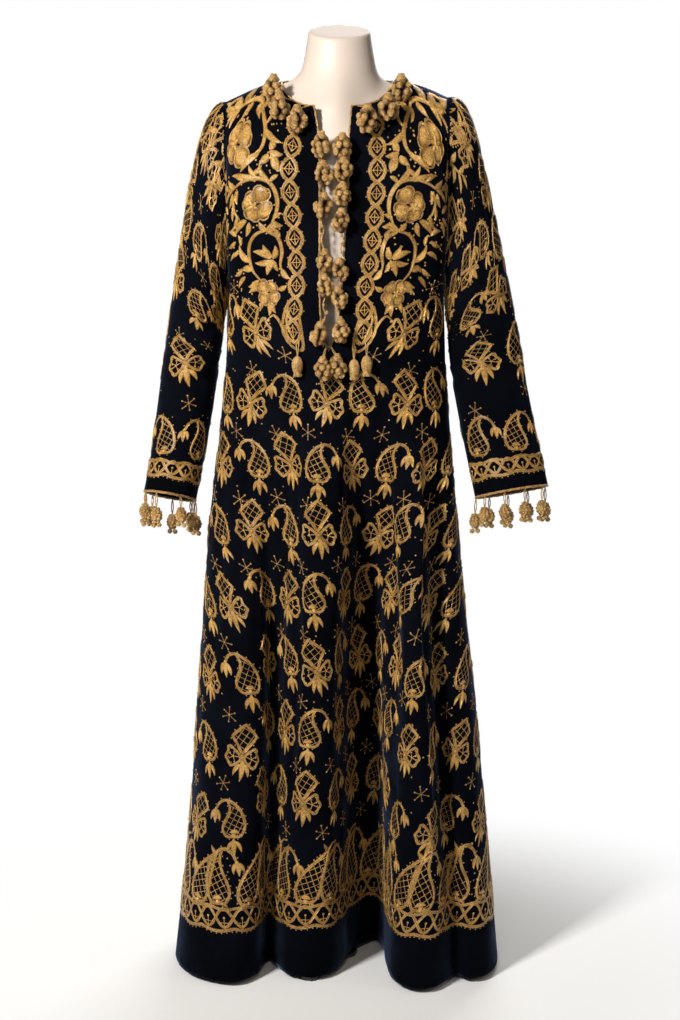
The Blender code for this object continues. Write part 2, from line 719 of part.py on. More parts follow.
def build_chain_tassels(gold):
    """The tassels at the lower ends of the two embroidered chains, just off the cloth."""
    radius = CHAIN_DROP_RADIUS
    for name, across, height in CHAIN_TASSELS:
        depth = min(
            front_depth(across + step * radius * 0.75, height + rise)
            for step in (-1, 0, 1) for rise in (-0.014, 0.006, 0.034)
        )
        middle = np.array([across, depth - radius * 0.7071 - 2 * SEAM_GAP, height])
        rings = []
        for rise, wide in ((0.034, 0.0016), (0.020, 0.0018)):
            behind = min(front_depth(across + step * wide, height + rise) for step in (-1, 1))
            near = behind - wide * 0.7071 - SEAM_GAP
            rings.append((np.array([across, near, height + rise]), wide))
        rings += drop_rings(middle, radius)
        points = []
        for centre, wide in reversed(rings):
            for step in range(4):
                angle = math.pi / 4 + math.pi / 2 * step
                points.append(centre + wide * np.array([math.cos(angle), math.sin(angle), 0.0]))
        faces = []
        loop_faces(faces, 0, len(rings), 4)
        add(name, points, faces, gold)


def build_cuff_trim(name, grid, normal, gold):
    """The braid just below a cuff with the ring of tassels that hang from it."""
    rim = grid[-1] - normal[-1] * CLOTH / 2
    down = unit(grid[-1] - grid[-2])
    path = rim + down * (BRAID_RADIUS + SEAM_GAP)
    points = []
    faces = []
    tube(path, down, BRAID_RADIUS, CORD_SIDES, points, faces)
    roots = []
    for face in faces:
        centre, way = face_out(points, face)
        roots.append((way[2], face, centre, way))
    below = [root for root in roots if root[0] < -0.8]
    middle = path.mean(axis=0)
    for step in range(CUFF_TASSELS):
        angle = 2 * math.pi * (step + 0.3) / CUFF_TASSELS
        aim = np.array([math.cos(angle), math.sin(angle)])
        best = max(below, key=lambda root: unit(root[2][:2] - middle[:2]) @ aim)
        below.remove(best)
        _, face, centre, way = best
        rings = []
        for drop, wide in CUFF_DROP:
            rings.append((centre + np.array([0.0, 0.0, -drop]), wide))
        hang(points, faces, face, rings)
    add(name, points, faces, gold)


def form_quarter(side, face):
    """A quarter of the dress form: torso rows, then shoulder rows just under the cloth."""
    shares = np.array(FORM_SHARES)
    rises = np.array([rise for rise in YOKE_RISES if rise > 0.54])
    share, rise = np.meshgrid(shares, rises)
    cloth = yoke(side, face, share, rise)
    normals = grid_normals(cloth) * -side * face
    run = np.gradient(cloth[-1], axis=0)
    seam = shares >= NECK_POINT_SHARE - 1e-6
    normals[-1, seam] = unit(np.cross(run, (0.0, side, 0.0)))[seam]
    clear = FORM_REST + FORM_CHEST_CLEAR * (1 - rise) / 0.45
    clear = clear + FORM_NECK_CLEAR * ease((0.70 - share) / 0.12)
    normals[:, 0, 0] = 0.0
    shoulder = cloth - normals * (CLOTH + clear)[..., None]
    shoulder[..., 0] *= 1 - ARM_PLATE_INSET * ease((share - 0.68) / 0.32)
    angle = shares * math.pi / 2
    rows = []
    for height, half, front, back in zip(*(TORSO[name] for name in TORSO)):
        deep = -front if face < 0 else back
        rows.append(stack(side * half * np.sin(angle), face * deep * np.cos(angle), height))
    return np.concatenate([np.array(rows), shoulder])


def neck_quarter(side, face, below, last):
    """A quarter of the neck, rising in a soft curve from the shoulder rows."""
    neck = np.array(FORM_SHARES) <= NECK_POINT_SHARE + 1e-6
    start = last[neck]
    leave = unit(start - below[neck])
    leave[-1] = unit(np.array([-side, 0.0, 0.20]))
    leave[0, 0] = 0.0
    leave = leave * np.array([1.0, 1.0, 0.6]) * 0.050
    angle = np.array(FORM_SHARES)[neck] / NECK_POINT_SHARE * math.pi / 2
    rings = []
    for height, half, front, back, tilt in zip(*(NECK[name] for name in NECK)):
        deep = (back - front) / 2
        depth = face * deep * np.cos(angle)
        rings.append(
            stack(NECK_ASIDE + side * half * np.sin(angle), (front + back) / 2 + depth,
                  height + tilt * depth)
        )
    rows = [start]
    for part in (0.25, 0.5, 0.75):
        rows.append(hermite(start, leave, rings[0], np.array([0.0, 0.0, 0.050]), part))
    return np.array(rows + rings)


def build_form(cream):
    """The smooth limbless dress form, from its flat foot to its tilted neck cap."""
    patches = []
    for side in (-1, 1):
        edges = []
        for face in (-1, 1):
            quarter = form_quarter(side, face)
            patches.append(quarter)
            patches.append(neck_quarter(side, face, quarter[-2], quarter[-1]))
            edges.append(quarter[:, -1])
        patches.append(np.stack(edges, axis=1))
    work = bmesh.new()
    for patch in patches:
        rows, count = patch.shape[:2]
        corners = [[work.verts.new(point) for point in row] for row in patch]
        for row in range(rows - 1):
            for place in range(count - 1):
                work.faces.new((corners[row][place], corners[row][place + 1],
                                corners[row + 1][place + 1], corners[row + 1][place]))
    bmesh.ops.remove_doubles(work, verts=work.verts, dist=0.00002)
    rim = [edge for edge in work.edges if len(edge.link_faces) == 1]
    bmesh.ops.holes_fill(work, edges=rim, sides=0)
    bmesh.ops.recalc_face_normals(work, faces=work.faces)
    mesh = bpy.data.meshes.new("dress_form")
    work.to_mesh(mesh)
    work.free()
    for face in mesh.polygons:
        face.use_smooth = True
    mesh.materials.append(cream)
    body = bpy.data.objects.new("dress_form", mesh)
    bpy.context.scene.collection.objects.link(body)


def loop_faces(faces, first, rings, sides):
    """The walls between closed rings of points and a flat face at each end."""
    for ring in range(rings - 1):
        for step in range(sides):
            beside = (step + 1) % sides
            low = first + ring * sides
            faces.append((low + step, low + beside, low + sides + beside, low + sides + step))
    faces.append(tuple(first + step for step in reversed(range(sides))))
    faces.append(tuple(first + (rings - 1) * sides + step for step in range(sides)))


def build_stand(steel):
    """The pole inside the skirt and the flat foot with three arms that it stands on."""
    points = []
    faces = []
    for height in (BASE_THICK + SEAM_GAP, TORSO["height"][0] - SEAM_GAP):
        for step in range(POLE_SIDES):
            angle = 2 * math.pi * step / POLE_SIDES
            points.append((POLE_RADIUS * math.cos(angle), POLE_RADIUS * math.sin(angle), height))
    loop_faces(faces, 0, 2, POLE_SIDES)
    add("stand_pole", points, faces, steel)
    outline = []
    half_arm = math.asin(BASE_ARM_WIDTH / 2 / BASE_HUB_RADIUS)
    for turn, following in zip(BASE_TURNS, BASE_TURNS[1:] + (BASE_TURNS[0] + 360.0,)):
        centre = math.radians(turn)
        along = np.array([math.cos(centre), math.sin(centre)])
        across = np.array([-along[1], along[0]]) * BASE_ARM_WIDTH / 2
        tip = along * BASE_REACH
        root = along * BASE_HUB_RADIUS * math.cos(half_arm)
        outline += [root - across, tip - along * BASE_TIP - across, tip - across * 0.55,
                    tip + across * 0.55, tip - along * BASE_TIP + across, root + across]
        for part in (1 / 4, 1 / 2, 3 / 4):
            gap = math.radians(following - turn) - 2 * half_arm
            angle = centre + half_arm + gap * part
            outline.append(BASE_HUB_RADIUS * np.array([math.cos(angle), math.sin(angle)]))
    count = len(outline)
    points = [(x, y, height) for height in (0.0, BASE_THICK) for x, y in outline]
    faces = []
    loop_faces(faces, 0, 2, count)
    add("stand_foot", points, faces, steel)


for old in list(bpy.data.objects):
    bpy.data.objects.remove(old)

velvet = material("navy_velvet", (0.006, 0.007, 0.011), 0.75, sheen=0.6)
gold = material("gold_thread", (0.42, 0.25, 0.085), 0.45, 0.25)
cream = material("cream_form", (0.86, 0.80, 0.70), 0.55)
steel = material("dark_steel", (0.05, 0.05, 0.055), 0.4, 0.9)
grids, normals, sleeves = build_cloth(velvet)
build_neck_cord(grids, normals, SKIRT_ROWS, gold)
build_chain_tassels(gold)
build_cuff_trim("cuff_trim_left", *sleeves[0], gold)
build_cuff_trim("cuff_trim_right", *sleeves[1], gold)
build_form(cream)
build_stand(steel)
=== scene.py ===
"""Embroidered velvet dress on a limbless dress form: the visual model in the shared frame."""
from math import ceil, cos, pi, radians, sin, sqrt
import bmesh
import bpy
import numpy as np
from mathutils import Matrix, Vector


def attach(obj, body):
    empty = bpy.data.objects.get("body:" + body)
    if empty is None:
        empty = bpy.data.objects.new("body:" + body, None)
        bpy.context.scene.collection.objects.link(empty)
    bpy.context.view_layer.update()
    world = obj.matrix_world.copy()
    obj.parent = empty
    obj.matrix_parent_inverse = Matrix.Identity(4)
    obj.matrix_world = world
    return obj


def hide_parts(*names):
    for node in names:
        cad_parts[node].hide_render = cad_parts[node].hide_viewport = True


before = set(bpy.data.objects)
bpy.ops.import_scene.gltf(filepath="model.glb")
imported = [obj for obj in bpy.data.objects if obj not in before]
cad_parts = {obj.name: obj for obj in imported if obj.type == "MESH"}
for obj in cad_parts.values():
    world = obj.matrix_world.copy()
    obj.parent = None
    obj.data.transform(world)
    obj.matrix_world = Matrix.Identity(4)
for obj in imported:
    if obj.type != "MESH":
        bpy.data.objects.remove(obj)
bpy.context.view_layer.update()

# Sizes shared with the solid dress, in metres
CLOTH = 0.002
SEAM_GAP = 0.0003
HEM_Z = 0.010
UNDERARM_Z = 1.110
BUST_Z = 1.300
BUST_RISE = 0.55
FOLD_TOP_Z = 0.960
FOLD_POWER = 0.95
FOLD_SWELL = 0.18
FOLD_SWELL_TOP_Z = 0.825
FOLD_SWELL_RUN = 0.26
HEM_LIFT = 0.007
HEM_LIFT_TURN = 0.618
HEM_LIFT_SPREAD = 0.048
HEM_LIFT_REACH = 0.25
SLIT_BOTTOM_Z = 1.022
SLIT_REACH = 0.6
NECK_POINT_SHARE = 0.575
ELBOW_Z = 1.000
SLEEVE_RUN = 0.21
UNDERARM_SOFT = 0.09
CUFF_TILT_OUT = 0.17
CUFF_TILT_FRONT = 0.20
CORD_RADIUS = 0.0016
BRAID_RADIUS = 0.0022

# How finely the visual cloth is divided
PANEL_COLUMNS = 84
SKIRT_ROWS = 118
SLIT_ROWS = 12
YOKE_ROWS = 56
SLEEVE_ROWS = 60
CUFF_ROWS = 40


def table(**columns):
    """A table written in thousandths."""
    return {name: np.array(values) / 1000 for name, values in columns.items()}


# The smooth body of the dress: half widths and half depths at each height
BODY = table(
    height=(10, 90, 160, 300, 440, 570, 740, 870, 1000, 1110),
    left=(270, 261, 253, 240, 231, 221, 210, 194, 181, 176),
    right=(271, 264, 257, 244, 231, 215, 199, 187, 177, 174),
    front=(142, 141, 140, 137, 134, 131, 127, 123, 119, 118),
    back=(146, 144, 142, 137, 132, 126, 118, 112, 108, 108))

# The hem seen from above; turn runs 0 left seam, 0.5 front, 1 right seam, 1.5 back
HEM = table(
    turn=(0, 45, 90, 135, 185, 225, 262, 290, 320, 360, 410, 460, 505, 550, 595, 628, 658, 700,
          740, 780, 818, 850, 872, 900, 938, 972, 1000, 1060, 1120, 1175, 1220, 1250, 1280, 1345,
          1415, 1465, 1500, 1535, 1590, 1650, 1705, 1745, 1785, 1850, 1930),
    across=(-271, -270, -250, -209, -160, -132, -123, -115, -104, -84, -48, -12, 8, 20, 42, 65,
            77, 81, 91, 119, 157, 182, 192, 210, 245, 266, 271, 258, 222, 182, 156, 141, 126, 86,
            41, 12, 0, -14, -48, -94, -131, -148, -168, -215, -258),
    depth=(12, -45, -112, -153, -163, -130, -82, -58, -79, -124, -141, -125, -80, -30, 14, 30,
           -6, -80, -155, -193, -187, -148, -131, -147, -131, -72, 12, 82, 138, 150, 125, 113,
           134, 182, 182, 146, 114, 142, 182, 184, 150, 117, 136, 150, 94))

# Standing folds of the front: turn at the top and at the hem, half width, how far out, and the
# heights at which each starts, is full, fades and ends
FRONT_FOLDS = ((0.474, 0.410, 0.047, 0.024, 0.965, 0.830, 0.480, 0.060),
               (0.722, 0.785, 0.050, 0.022, 0.900, 0.740, 0.460, 0.060))

# How far the two edges of the front opening stand from the middle
SLIT = table(
    height=(800, 950, 1022, 1034, 1050, 1075, 1160, 1240, 1300, 1350, 1405),
    left=(0, -8, -12.5, -19, -24, -26.5, -28, -28, -28, -28.5, -36),
    right=(0, -8, -12.5, -7, -2, 3, 11, 15.5, 19.5, 19.5, 24))

# Neckline in front and behind and the shoulder seam, by share from middle to armhole
FRONT_NECK = table(
    share=(0, 90, 145, 235, 380, 500, 575), across=(0, 23, 37.3, 56.3, 78.2, 88.2, 90.5),
    depth=(-88, -77, -67, -52, -26, -4, 10),
    height=(1405, 1406.5, 1410, 1416.5, 1432, 1444.5, 1451))
BACK_NECK = table(
    share=(0, 150, 300, 450, 520, 575), across=(0, 30, 57, 80, 87.5, 90.5),
    depth=(86, 83, 71, 45, 27, 10), height=(1456, 1456.5, 1457, 1455, 1453, 1451))
SHOULDER = table(
    share=(575, 680, 785, 880, 1000), across=(90.5, 112, 135, 155, 178),
    depth=(10, 12, 13, 12, 10), height=(1451, 1446.5, 1437, 1427, 1416))
# How much higher each shoulder stands at the armhole than that line
SHOULDER_LIFT = {-1: 0.0040, 1: 0.0110}
# The way the cloth runs as it arrives at that top edge
ARRIVAL = table(
    share=(0, 145, 235, 380, 500, 575, 680, 785, 1000),
    across=(0, -20, -45, -85, -110, -95, -30, 0, 0),
    depth=(28, 48, 58, 70, 90, 125, 170, 190, 200),
    height=(105, 100, 95, 85, 70, 50, 30, 20, 20))

# The left and the right sleeve: elbow ring, cuff ring and how the cap leaves the armhole
SLEEVES = table(
    elbow_across=(238.5, 245), elbow_wide=(45.5, 59.5), elbow_deep=(62, 52),
    cuff_across=(270.5, 283), cuff_height=(788, 795), cuff_wide=(42, 59), cuff_deep=(58, 44),
    cap=(208, 218), head=(4.5, 9))

# Clusters on the neck cord, in millimetres: across, height and radius of each
NECK_CLUSTERS = (
    (-100, 1434, 12.5), (-90, 1402, 13), (-62, 1380, 13), (102, 1435, 12.5), (81, 1400, 13),
    (48, 1382, 13), (-24, 1340, 12), (9, 1338, 12), (-21, 1296, 11.5), (10, 1303, 11.5),
    (9, 1264, 11.5), (-20, 1247, 11.5), (7, 1223, 11.5), (-19, 1162, 10.5), (4, 1148, 10.5),
    (-19, 1124, 10.5), (3, 1104, 10.5), (-27, 1048, 11), (6.5, 1053, 11), (-22, 994, 11),
    (0.5, 998, 11))

# Creases seen from the front: turn in degrees, then in millimetres the middle's place across
# and up, half length, half width and depth, which stands out where it is positive
CREASES = (
    (-24, -50, 1372, 26, 5, 1.6), (-30, -48, 1330, 22, 4.5, -1.2), (22, 50, 1368, 27, 5, 1.6),
    (28, 46, 1325, 24, 4.8, 1.4), (34, 52, 1290, 20, 4.5, -1.2), (68, -140, 1340, 70, 13, -3),
    (-70, 150, 1330, 80, 12, -2.8), (76, -120, 1180, 90, 14, 3), (-75, 128, 1170, 80, 13, -3),
    (87, -60, 760, 170, 10, 6.5), (87, -83, 760, 180, 9, -8.5), (85, -150, 740, 150, 12, -8),
    (85, -122, 760, 140, 11, 4.5), (91, 12, 700, 170, 13, 5), (92, 41, 720, 180, 12, -8),
    (92, 64, 700, 140, 10, 3), (93, 87, 680, 170, 9, -8.5), (93.5, 107, 680, 190, 10, 6.5),
    (94, 150, 760, 150, 12, -5.5), (93, 168, 400, 260, 9, -7), (85, -195, 640, 190, 11, -6),
    (89, -20, 900, 90, 12, 3), (90, 20, 560, 160, 12, -3), (87, -128, 420, 200, 10, 5),
    (84, -105, 940, 70, 12, -3))
# Creases of a sleeve: height, turn in radians, half width, depth and slant
SLEEVE_CREASES = (
    (1.060, 0.6, 0.012, -0.0024, 0.020), (1.025, 1.1, 0.010, 0.0020, -0.016),
    (0.985, 0.4, 0.011, -0.0026, 0.018), (0.945, 0.9, 0.012, 0.0020, -0.020),
    (1.130, 1.6, 0.015, 0.0018, 0.040), (1.215, 1.2, 0.016, -0.0020, 0.050),
    (0.880, 2.2, 0.014, -0.0018, 0.030), (1.000, 4.2, 0.013, -0.0024, 0.030),
    (1.150, 4.8, 0.015, 0.0020, -0.030))


def hermite(start, start_run, end, end_run, part):
    """The cubic between two ends with a given run at each."""
    square = part * part
    cube = square * part
    return (start * (2 * cube - 3 * square + 1) + start_run * (cube - 2 * square + part)
            + end * (3 * square - 2 * cube) + end_run * (cube - square))


def spline(knots, values, at, ring=0.0):
    """A smooth curve through a table's column; ring is the length of a closed one."""
    if ring:
        knots = np.concatenate([knots[-3:] - ring, knots, knots[:3] + ring])
        values = np.concatenate([values[-3:], values, values[:3]])
    gap = np.diff(knots)
    rise = np.diff(values) / gap
    inner = (rise[1:] * gap[:-1] + rise[:-1] * gap[1:]) / (knots[2:] - knots[:-2])
    slope = np.concatenate([rise[:1], inner, rise[-1:]])
    place = np.clip(np.searchsorted(knots, at, side="right") - 1, 0, len(knots) - 2)
    width = gap[place]
    part = np.clip((at - knots[place]) / width, 0.0, 1.0)
    return hermite(values[place], slope[place] * width, values[place + 1],
                   slope[place + 1] * width, part)


def ease(value):
    """A soft step from 0 to 1."""
    value = np.clip(value, 0.0, 1.0)
    return value * value * (3 - 2 * value)


def unit(vectors):
    """Vectors of length one."""
    return vectors / np.maximum(np.linalg.norm(vectors, axis=-1, keepdims=True), 1e-12)


def stack(*parts):
    """Points from their parts."""
    return np.stack(np.broadcast_arrays(*parts), axis=-1)


def lengths(line):
    """How far along a line each of its points is."""
    return np.concatenate([[0.0], np.cumsum(np.linalg.norm(np.diff(line, axis=0), axis=1))])


def way(turn, radius=1.0):
    """A point on a circle round the origin, its turn in radians."""
    return np.array([radius * cos(turn), radius * sin(turn)])


def around(line):
    """The run of a closed line at each of its points."""
    return np.roll(line, -1, axis=0) - np.roll(line, 1, axis=0)


def ring_turns(count, total=None):
    """Evenly spaced turns round a circle, in radians."""
    return np.arange(total or count) * 2 * pi / count


def table_line(line, side, share):
    """Points along a line given by a table, on one side."""
    across, depth, height = (spline(line["share"], line[name], share)
                             for name in ("across", "depth", "height"))
    return stack(side * across, depth, height)


def body_ring(turn, height):
    """The smooth flared ring of the dress before its folds."""
    sine, cosine = np.sin((turn - 0.5) * pi), np.cos((turn - 0.5) * pi)
    left, right, front, back = (np.interp(height, BODY["height"], BODY[name])
                                for name in ("left", "right", "front", "back"))
    return stack(sine * np.where(sine < 0, left, right),
                 -cosine * np.where(cosine > 0, front, back), height)


def skirt(turn, height):
    """The dress below the underarm, with its folds growing down to the hem."""
    flat = body_ring(turn, np.full_like(height, HEM_Z))
    turns = np.mod(turn, 2.0)
    part = (height - HEM_Z) / (FOLD_TOP_Z - HEM_Z)
    grown = np.clip(1 - part, 0.0, 1.0) ** FOLD_POWER
    grown += (FOLD_SWELL * ease((FOLD_SWELL_TOP_Z - height) / FOLD_SWELL_RUN)
              * ease((height - HEM_Z) / (2 * FOLD_SWELL_RUN)))
    across = grown * (spline(HEM["turn"], HEM["across"], turns, 2.0) - flat[..., 0])
    depth = grown * (spline(HEM["turn"], HEM["depth"], turns, 2.0) - flat[..., 1])
    angle = (turns - 0.5) * pi
    for top, low, half, out, start, full, fade, end in FRONT_FOLDS:
        aside = np.abs(turns - low - (top - low) * part) / half
        out = out * ease((1.45 - aside) / 0.80) * ease((start - height) / (start - full))
        out = out * ease((height - end) / (fade - end))
        across = across + np.sin(angle) * out
        depth = depth - np.cos(angle) * out
    near = np.exp(-(((turns - HEM_LIFT_TURN) / HEM_LIFT_SPREAD) ** 2))
    lift = HEM_LIFT * near * np.clip(1 - (height - HEM_Z) / HEM_LIFT_REACH, 0.0, 1.0) ** 2
    return body_ring(turn, height) + stack(across, depth, lift)


def turn_at(side, face, share):
    """The turn of a place on one half of the front or back."""
    return 1 + face * (1 - side * share) / 2


def yoke(side, face, share, rise):
    """The dress above the underarm: share 0 middle to 1 armhole, rise 0 to 1."""
    low = body_ring(turn_at(side, face, share), np.full_like(share, UNDERARM_Z))
    edge = ease((share - 0.45) / 0.55)
    low_run = stack(0.0, face * 0.105 * edge, 0.190 - 0.060 * edge)
    swell = 0.114 - (0.062 if face < 0 else 0.054) * share**3
    bust = stack(side * 0.176 * np.sin(share * pi / 2), face * swell, BUST_Z - 0.020 * share**4)
    bust_run = stack(0.0, -face * 0.012 * (1 - edge), 0.165)
    neck = FRONT_NECK if face < 0 else BACK_NECK
    top = np.where((share < NECK_POINT_SHARE)[..., None], table_line(neck, side, share),
                   table_line(SHOULDER, side, share))
    top[..., 2] += SHOULDER_LIFT[side] * ease((share - 0.50) / 0.42)
    top_run = table_line(ARRIVAL, side, share) * (1, -face, 1)
    first = hermite(low, low_run, bust, bust_run,
                    (np.minimum(rise, BUST_RISE) / BUST_RISE)[..., None])
    second = hermite(bust, bust_run, top, top_run,
                     ((np.maximum(rise, BUST_RISE) - BUST_RISE) / (1 - BUST_RISE))[..., None])
    return np.where((rise < BUST_RISE)[..., None], first, second)


def panel(side, face, shares, heights, rises):
    """Half a front or back panel as a grid of points from hem to top edge."""
    share, height = np.meshgrid(shares, heights)
    low = skirt(turn_at(side, face, share), height)
    grid = np.concatenate([low, yoke(side, face, *np.meshgrid(shares, rises))])
    if face < 0:
        edge = SLIT["left" if side < 0 else "right"]
        reach = np.clip(1 - shares / SLIT_REACH, 0.0, 1.0) ** 2
        grid[..., 0] += spline(SLIT["height"], edge, grid[..., 2]) * reach
    return grid


def sleeve(index, loop):
    """A sleeve from its armhole loop to its cuff; loop starts under the arm, front first."""
    side = 2 * index - 1
    size = {name: values[index] for name, values in SLEEVES.items()}
    turn = ring_turns(len(loop))
    out = -np.cos(turn)
    back = -np.sin(turn)
    elbow = stack(side * (size["elbow_across"] + size["elbow_wide"] * out),
                  size["elbow_deep"] * back, ELBOW_Z + 0.10 * size["elbow_wide"] * out)
    cuff = stack(side * (size["cuff_across"] + size["cuff_wide"] * out),
                 size["cuff_deep"] * back - 0.05,
                 size["cuff_height"] + CUFF_TILT_OUT * size["cuff_wide"] * out
                 - CUFF_TILT_FRONT * size["cuff_deep"] * back)
    rise = (1 + out) / 2
    leave = stack(side * (0.012 + (size["cap"] - 0.012) * rise), 0.06 * back * np.sin(turn) ** 2,
                  -0.10 - 0.08 * np.sin(turn) ** 2)
    down = stack(side * 0.13, -0.03, -0.985)
    arrive = down * np.linalg.norm(loop - elbow, axis=-1)[:, None]
    finish = stack(side * 0.17, -0.34, -0.92) * SLEEVE_RUN
    points = []
    for part in np.linspace(0, 1, SLEEVE_ROWS + 1):
        swell = size["head"] * np.sin(2 * pi * sqrt(part)) * rise**2
        points.append(hermite(loop, leave, elbow, arrive, part)
                      + stack(side * swell, 0.0, 0.4 * swell))
    for part in np.linspace(0, 1, CUFF_ROWS + 1)[1:]:
        points.append(hermite(elbow, down * SLEEVE_RUN, cuff, finish, part))
    return np.array(points)


def grid_normals(grid, closed=False):
    """The outward normals of a grid whose rows rise and whose columns run to one side."""
    if closed:
        along = np.roll(grid, -1, axis=1) - np.roll(grid, 1, axis=1)
    else:
        along = np.gradient(grid, axis=1)
    return unit(np.cross(along, np.gradient(grid, axis=0)))


def quads_of(number):
    """The four-sided faces of a grid of point numbers."""
    return stack(number[:-1, :-1], number[:-1, 1:], number[1:, 1:], number[1:, :-1]).reshape(-1, 4)


def new_mesh(name, points, faces, dress, uvs, shade_and_vein_marks=None):
    """A smooth object from points and a list of face arrays, with its material."""
    mesh = bpy.data.meshes.new(name)
    corners = np.concatenate([part.reshape(-1) for part in faces]).astype(np.int32)
    count = len(corners) // 4
    mesh.vertices.add(len(points))
    mesh.vertices.foreach_set("co", np.asarray(points, np.float32).reshape(-1))
    mesh.loops.add(len(corners))
    mesh.loops.foreach_set("vertex_index", corners)
    mesh.polygons.add(count)
    mesh.polygons.foreach_set("loop_start", np.arange(count, dtype=np.int32) * 4)
    mesh.polygons.foreach_set("use_smooth", np.ones(count, bool))
    layer = mesh.uv_layers.new(name="UVMap")
    layer.data.foreach_set("uv", np.asarray(uvs, np.float32)[corners].reshape(-1))
    # The rim attribute holds painted shade, and dark centre lines, which the thread finish darkens
    # by
    if shade_and_vein_marks is not None:
        layer = mesh.attributes.new("rim", "FLOAT", "POINT")
        layer.data.foreach_set("value", np.asarray(shade_and_vein_marks, np.float32))
    mesh.update(calc_edges=True)
    mesh.validate()
    return new_object(name, mesh, dress)


def new_object(name, data, dress=None):
    """An object in the scene, with its material if it has one."""
    made = bpy.data.objects.new(name, data)
    bpy.context.scene.collection.objects.link(made)
    if dress:
        data.materials.append(dress)
    return made


def cloth_shell(name, points, normals, quads, dress):
    """Cloth with an outer and an inner face and closed edges."""
    count = len(points)
    pairs = np.concatenate([quads[:, [i, (i + 1) % 4]] for i in range(4)]).astype(np.int64)
    lone = ~np.isin(pairs @ (count, 1), pairs @ (1, count))
    start, end = pairs[lone].T
    edge = stack(end, start, start + count, end + count)
    uvs = points[:, [0, 2]]
    return new_mesh(name, np.concatenate([points, points - normals * CLOTH]),
                    [quads, quads[:, ::-1] + count, edge], dress, np.concatenate([uvs, uvs]))


def crease_depth(across, up, mirror):
    """How far creases move the cloth outward at places seen from the front or behind."""
    total = np.zeros_like(across)
    for turn, *sizes in CREASES:
        x, z, long, wide, deep = np.array(sizes) / 1000
        run = way(radians(turn) * mirror)
        dx = across - x * mirror
        dz = up - z
        along = dx * run[0] + dz * run[1]
        aside = dz * run[0] - dx * run[1]
        total += deep * np.exp(-((along / long) ** 2) - (aside / wide) ** 2)
    return total


def sleeve_creases(grid, side):
    """Soft creases across the elbow and down the upper arm of a sleeve."""
    rows, count = grid.shape[:2]
    fade = ease(np.arange(rows) / 10.0) * ease((rows - 1 - np.arange(rows)) / 8.0)
    total = np.zeros((rows, count))
    for level, start, wide, deep, slant in SLEEVE_CREASES:
        turned = np.angle(np.exp(1j * (ring_turns(count) - start)))
        aside = grid[..., 2] - level - slant * turned * side
        total += deep * np.exp(-((aside / wide) ** 2) - (turned / 0.9) ** 2)
    return total * fade[:, None]


def armhole(sheets, side, first):
    """The loop round an armhole, from under the arm up the front and down the back."""
    front, back = (sheets[side, face][first:, -1] for face in (-1, 1))
    return np.concatenate([front, back[-2:0:-1]])


def build_grids():
    """The dress as fine grids: both halves of front and back, and both sleeves."""
    shares = np.linspace(0, 1, PANEL_COLUMNS + 1)
    shares[np.abs(shares - NECK_POINT_SHARE).argmin()] = NECK_POINT_SHARE
    keep = shares >= NECK_POINT_SHARE - 1e-6
    low = np.concatenate([np.linspace(HEM_Z, SLIT_BOTTOM_Z, SKIRT_ROWS),
                          np.linspace(SLIT_BOTTOM_Z, UNDERARM_Z, SLIT_ROWS)[1:-1]])
    first = len(low)
    grids = {}
    normals = {}
    sleeves = []
    for index, side in enumerate((-1, 1)):
        for face in (-1, 1):
            grid = panel(side, face, shares, low, np.linspace(0, 1, YOKE_ROWS))
            fade = ease((1 - shares) / 0.12) * ease((1.42 - grid[..., 2]) / 0.05)
            move = crease_depth(grid[..., 0], grid[..., 2], -face) * fade
            grid = grid + grid_normals(grid) * -side * face * move[..., None]
            grids[side, face] = grid
            normals[side, face] = grid_normals(grid) * -side * face
        loop = armhole(grids, side, first)
        grid = sleeve(index, loop)
        normal = grid_normals(grid, True) * -side
        grid = grid + normal * sleeve_creases(grid, side)[..., None]
        normal = grid_normals(grid, True) * -side
        under = ease((UNDERARM_Z - loop[:, 2:]) / UNDERARM_SOFT + 1)
        shared = unit(normal[0] + armhole(normals, side, first) + (0.0, 0.0, -0.5) * under)
        normal[0] = shared
        step = unit(np.cross(around(loop), shared))
        step *= np.sign(step[:, :1] * -side) * SEAM_GAP / 2
        grid[0] -= step
        sleeves.append((grid, normal))
        seam = unit(normals[side, -1][:first, -1] + normals[side, 1][:first, -1])
        back_rows = np.concatenate([[0], np.arange(len(loop) - 1, YOKE_ROWS - 2, -1)])
        for face, rows in ((-1, np.arange(YOKE_ROWS)), (1, back_rows)):
            grid = grids[side, face]
            normal = normals[side, face]
            normal[:first, -1] = seam
            normal[first:, -1] = shared[rows]
            normal[-1, keep] = unit(normal[-1, keep] * (1, 0, 1))
            grid[first:, -1] += step[rows]
            apart = (0.0, face * SEAM_GAP / 2, 0.0)
            grid[: first + 1, -1] += apart
            grid[-1, keep] += apart
    return shares, grids, normals, sleeves


def join_panel(grids, normals, face, joined_rows):
    """The two halves of a panel as one set of points; they part above joined_rows."""
    halves = np.stack([grids[-1, face], grids[1, face]])
    ways = np.stack([normals[-1, face], normals[1, face]])
    number = np.arange(halves[..., 0].size).reshape(halves.shape[:3])
    kept = slice(joined_rows + 1)
    ways[0, kept, 0] = unit(ways[0, kept, 0] + ways[1, kept, 0])
    halves[0, kept, 0] = (halves[0, kept, 0] + halves[1, kept, 0]) / 2
    number[1, kept, 0] = number[0, kept, 0]
    quads = np.concatenate([quads_of(number[0].T), quads_of(number[1])])
    if face > 0:
        quads = quads[:, ::-1]
    used, quads = np.unique(quads, return_inverse=True)
    return halves.reshape(-1, 3)[used], ways.reshape(-1, 3)[used], quads.reshape(-1, 4)


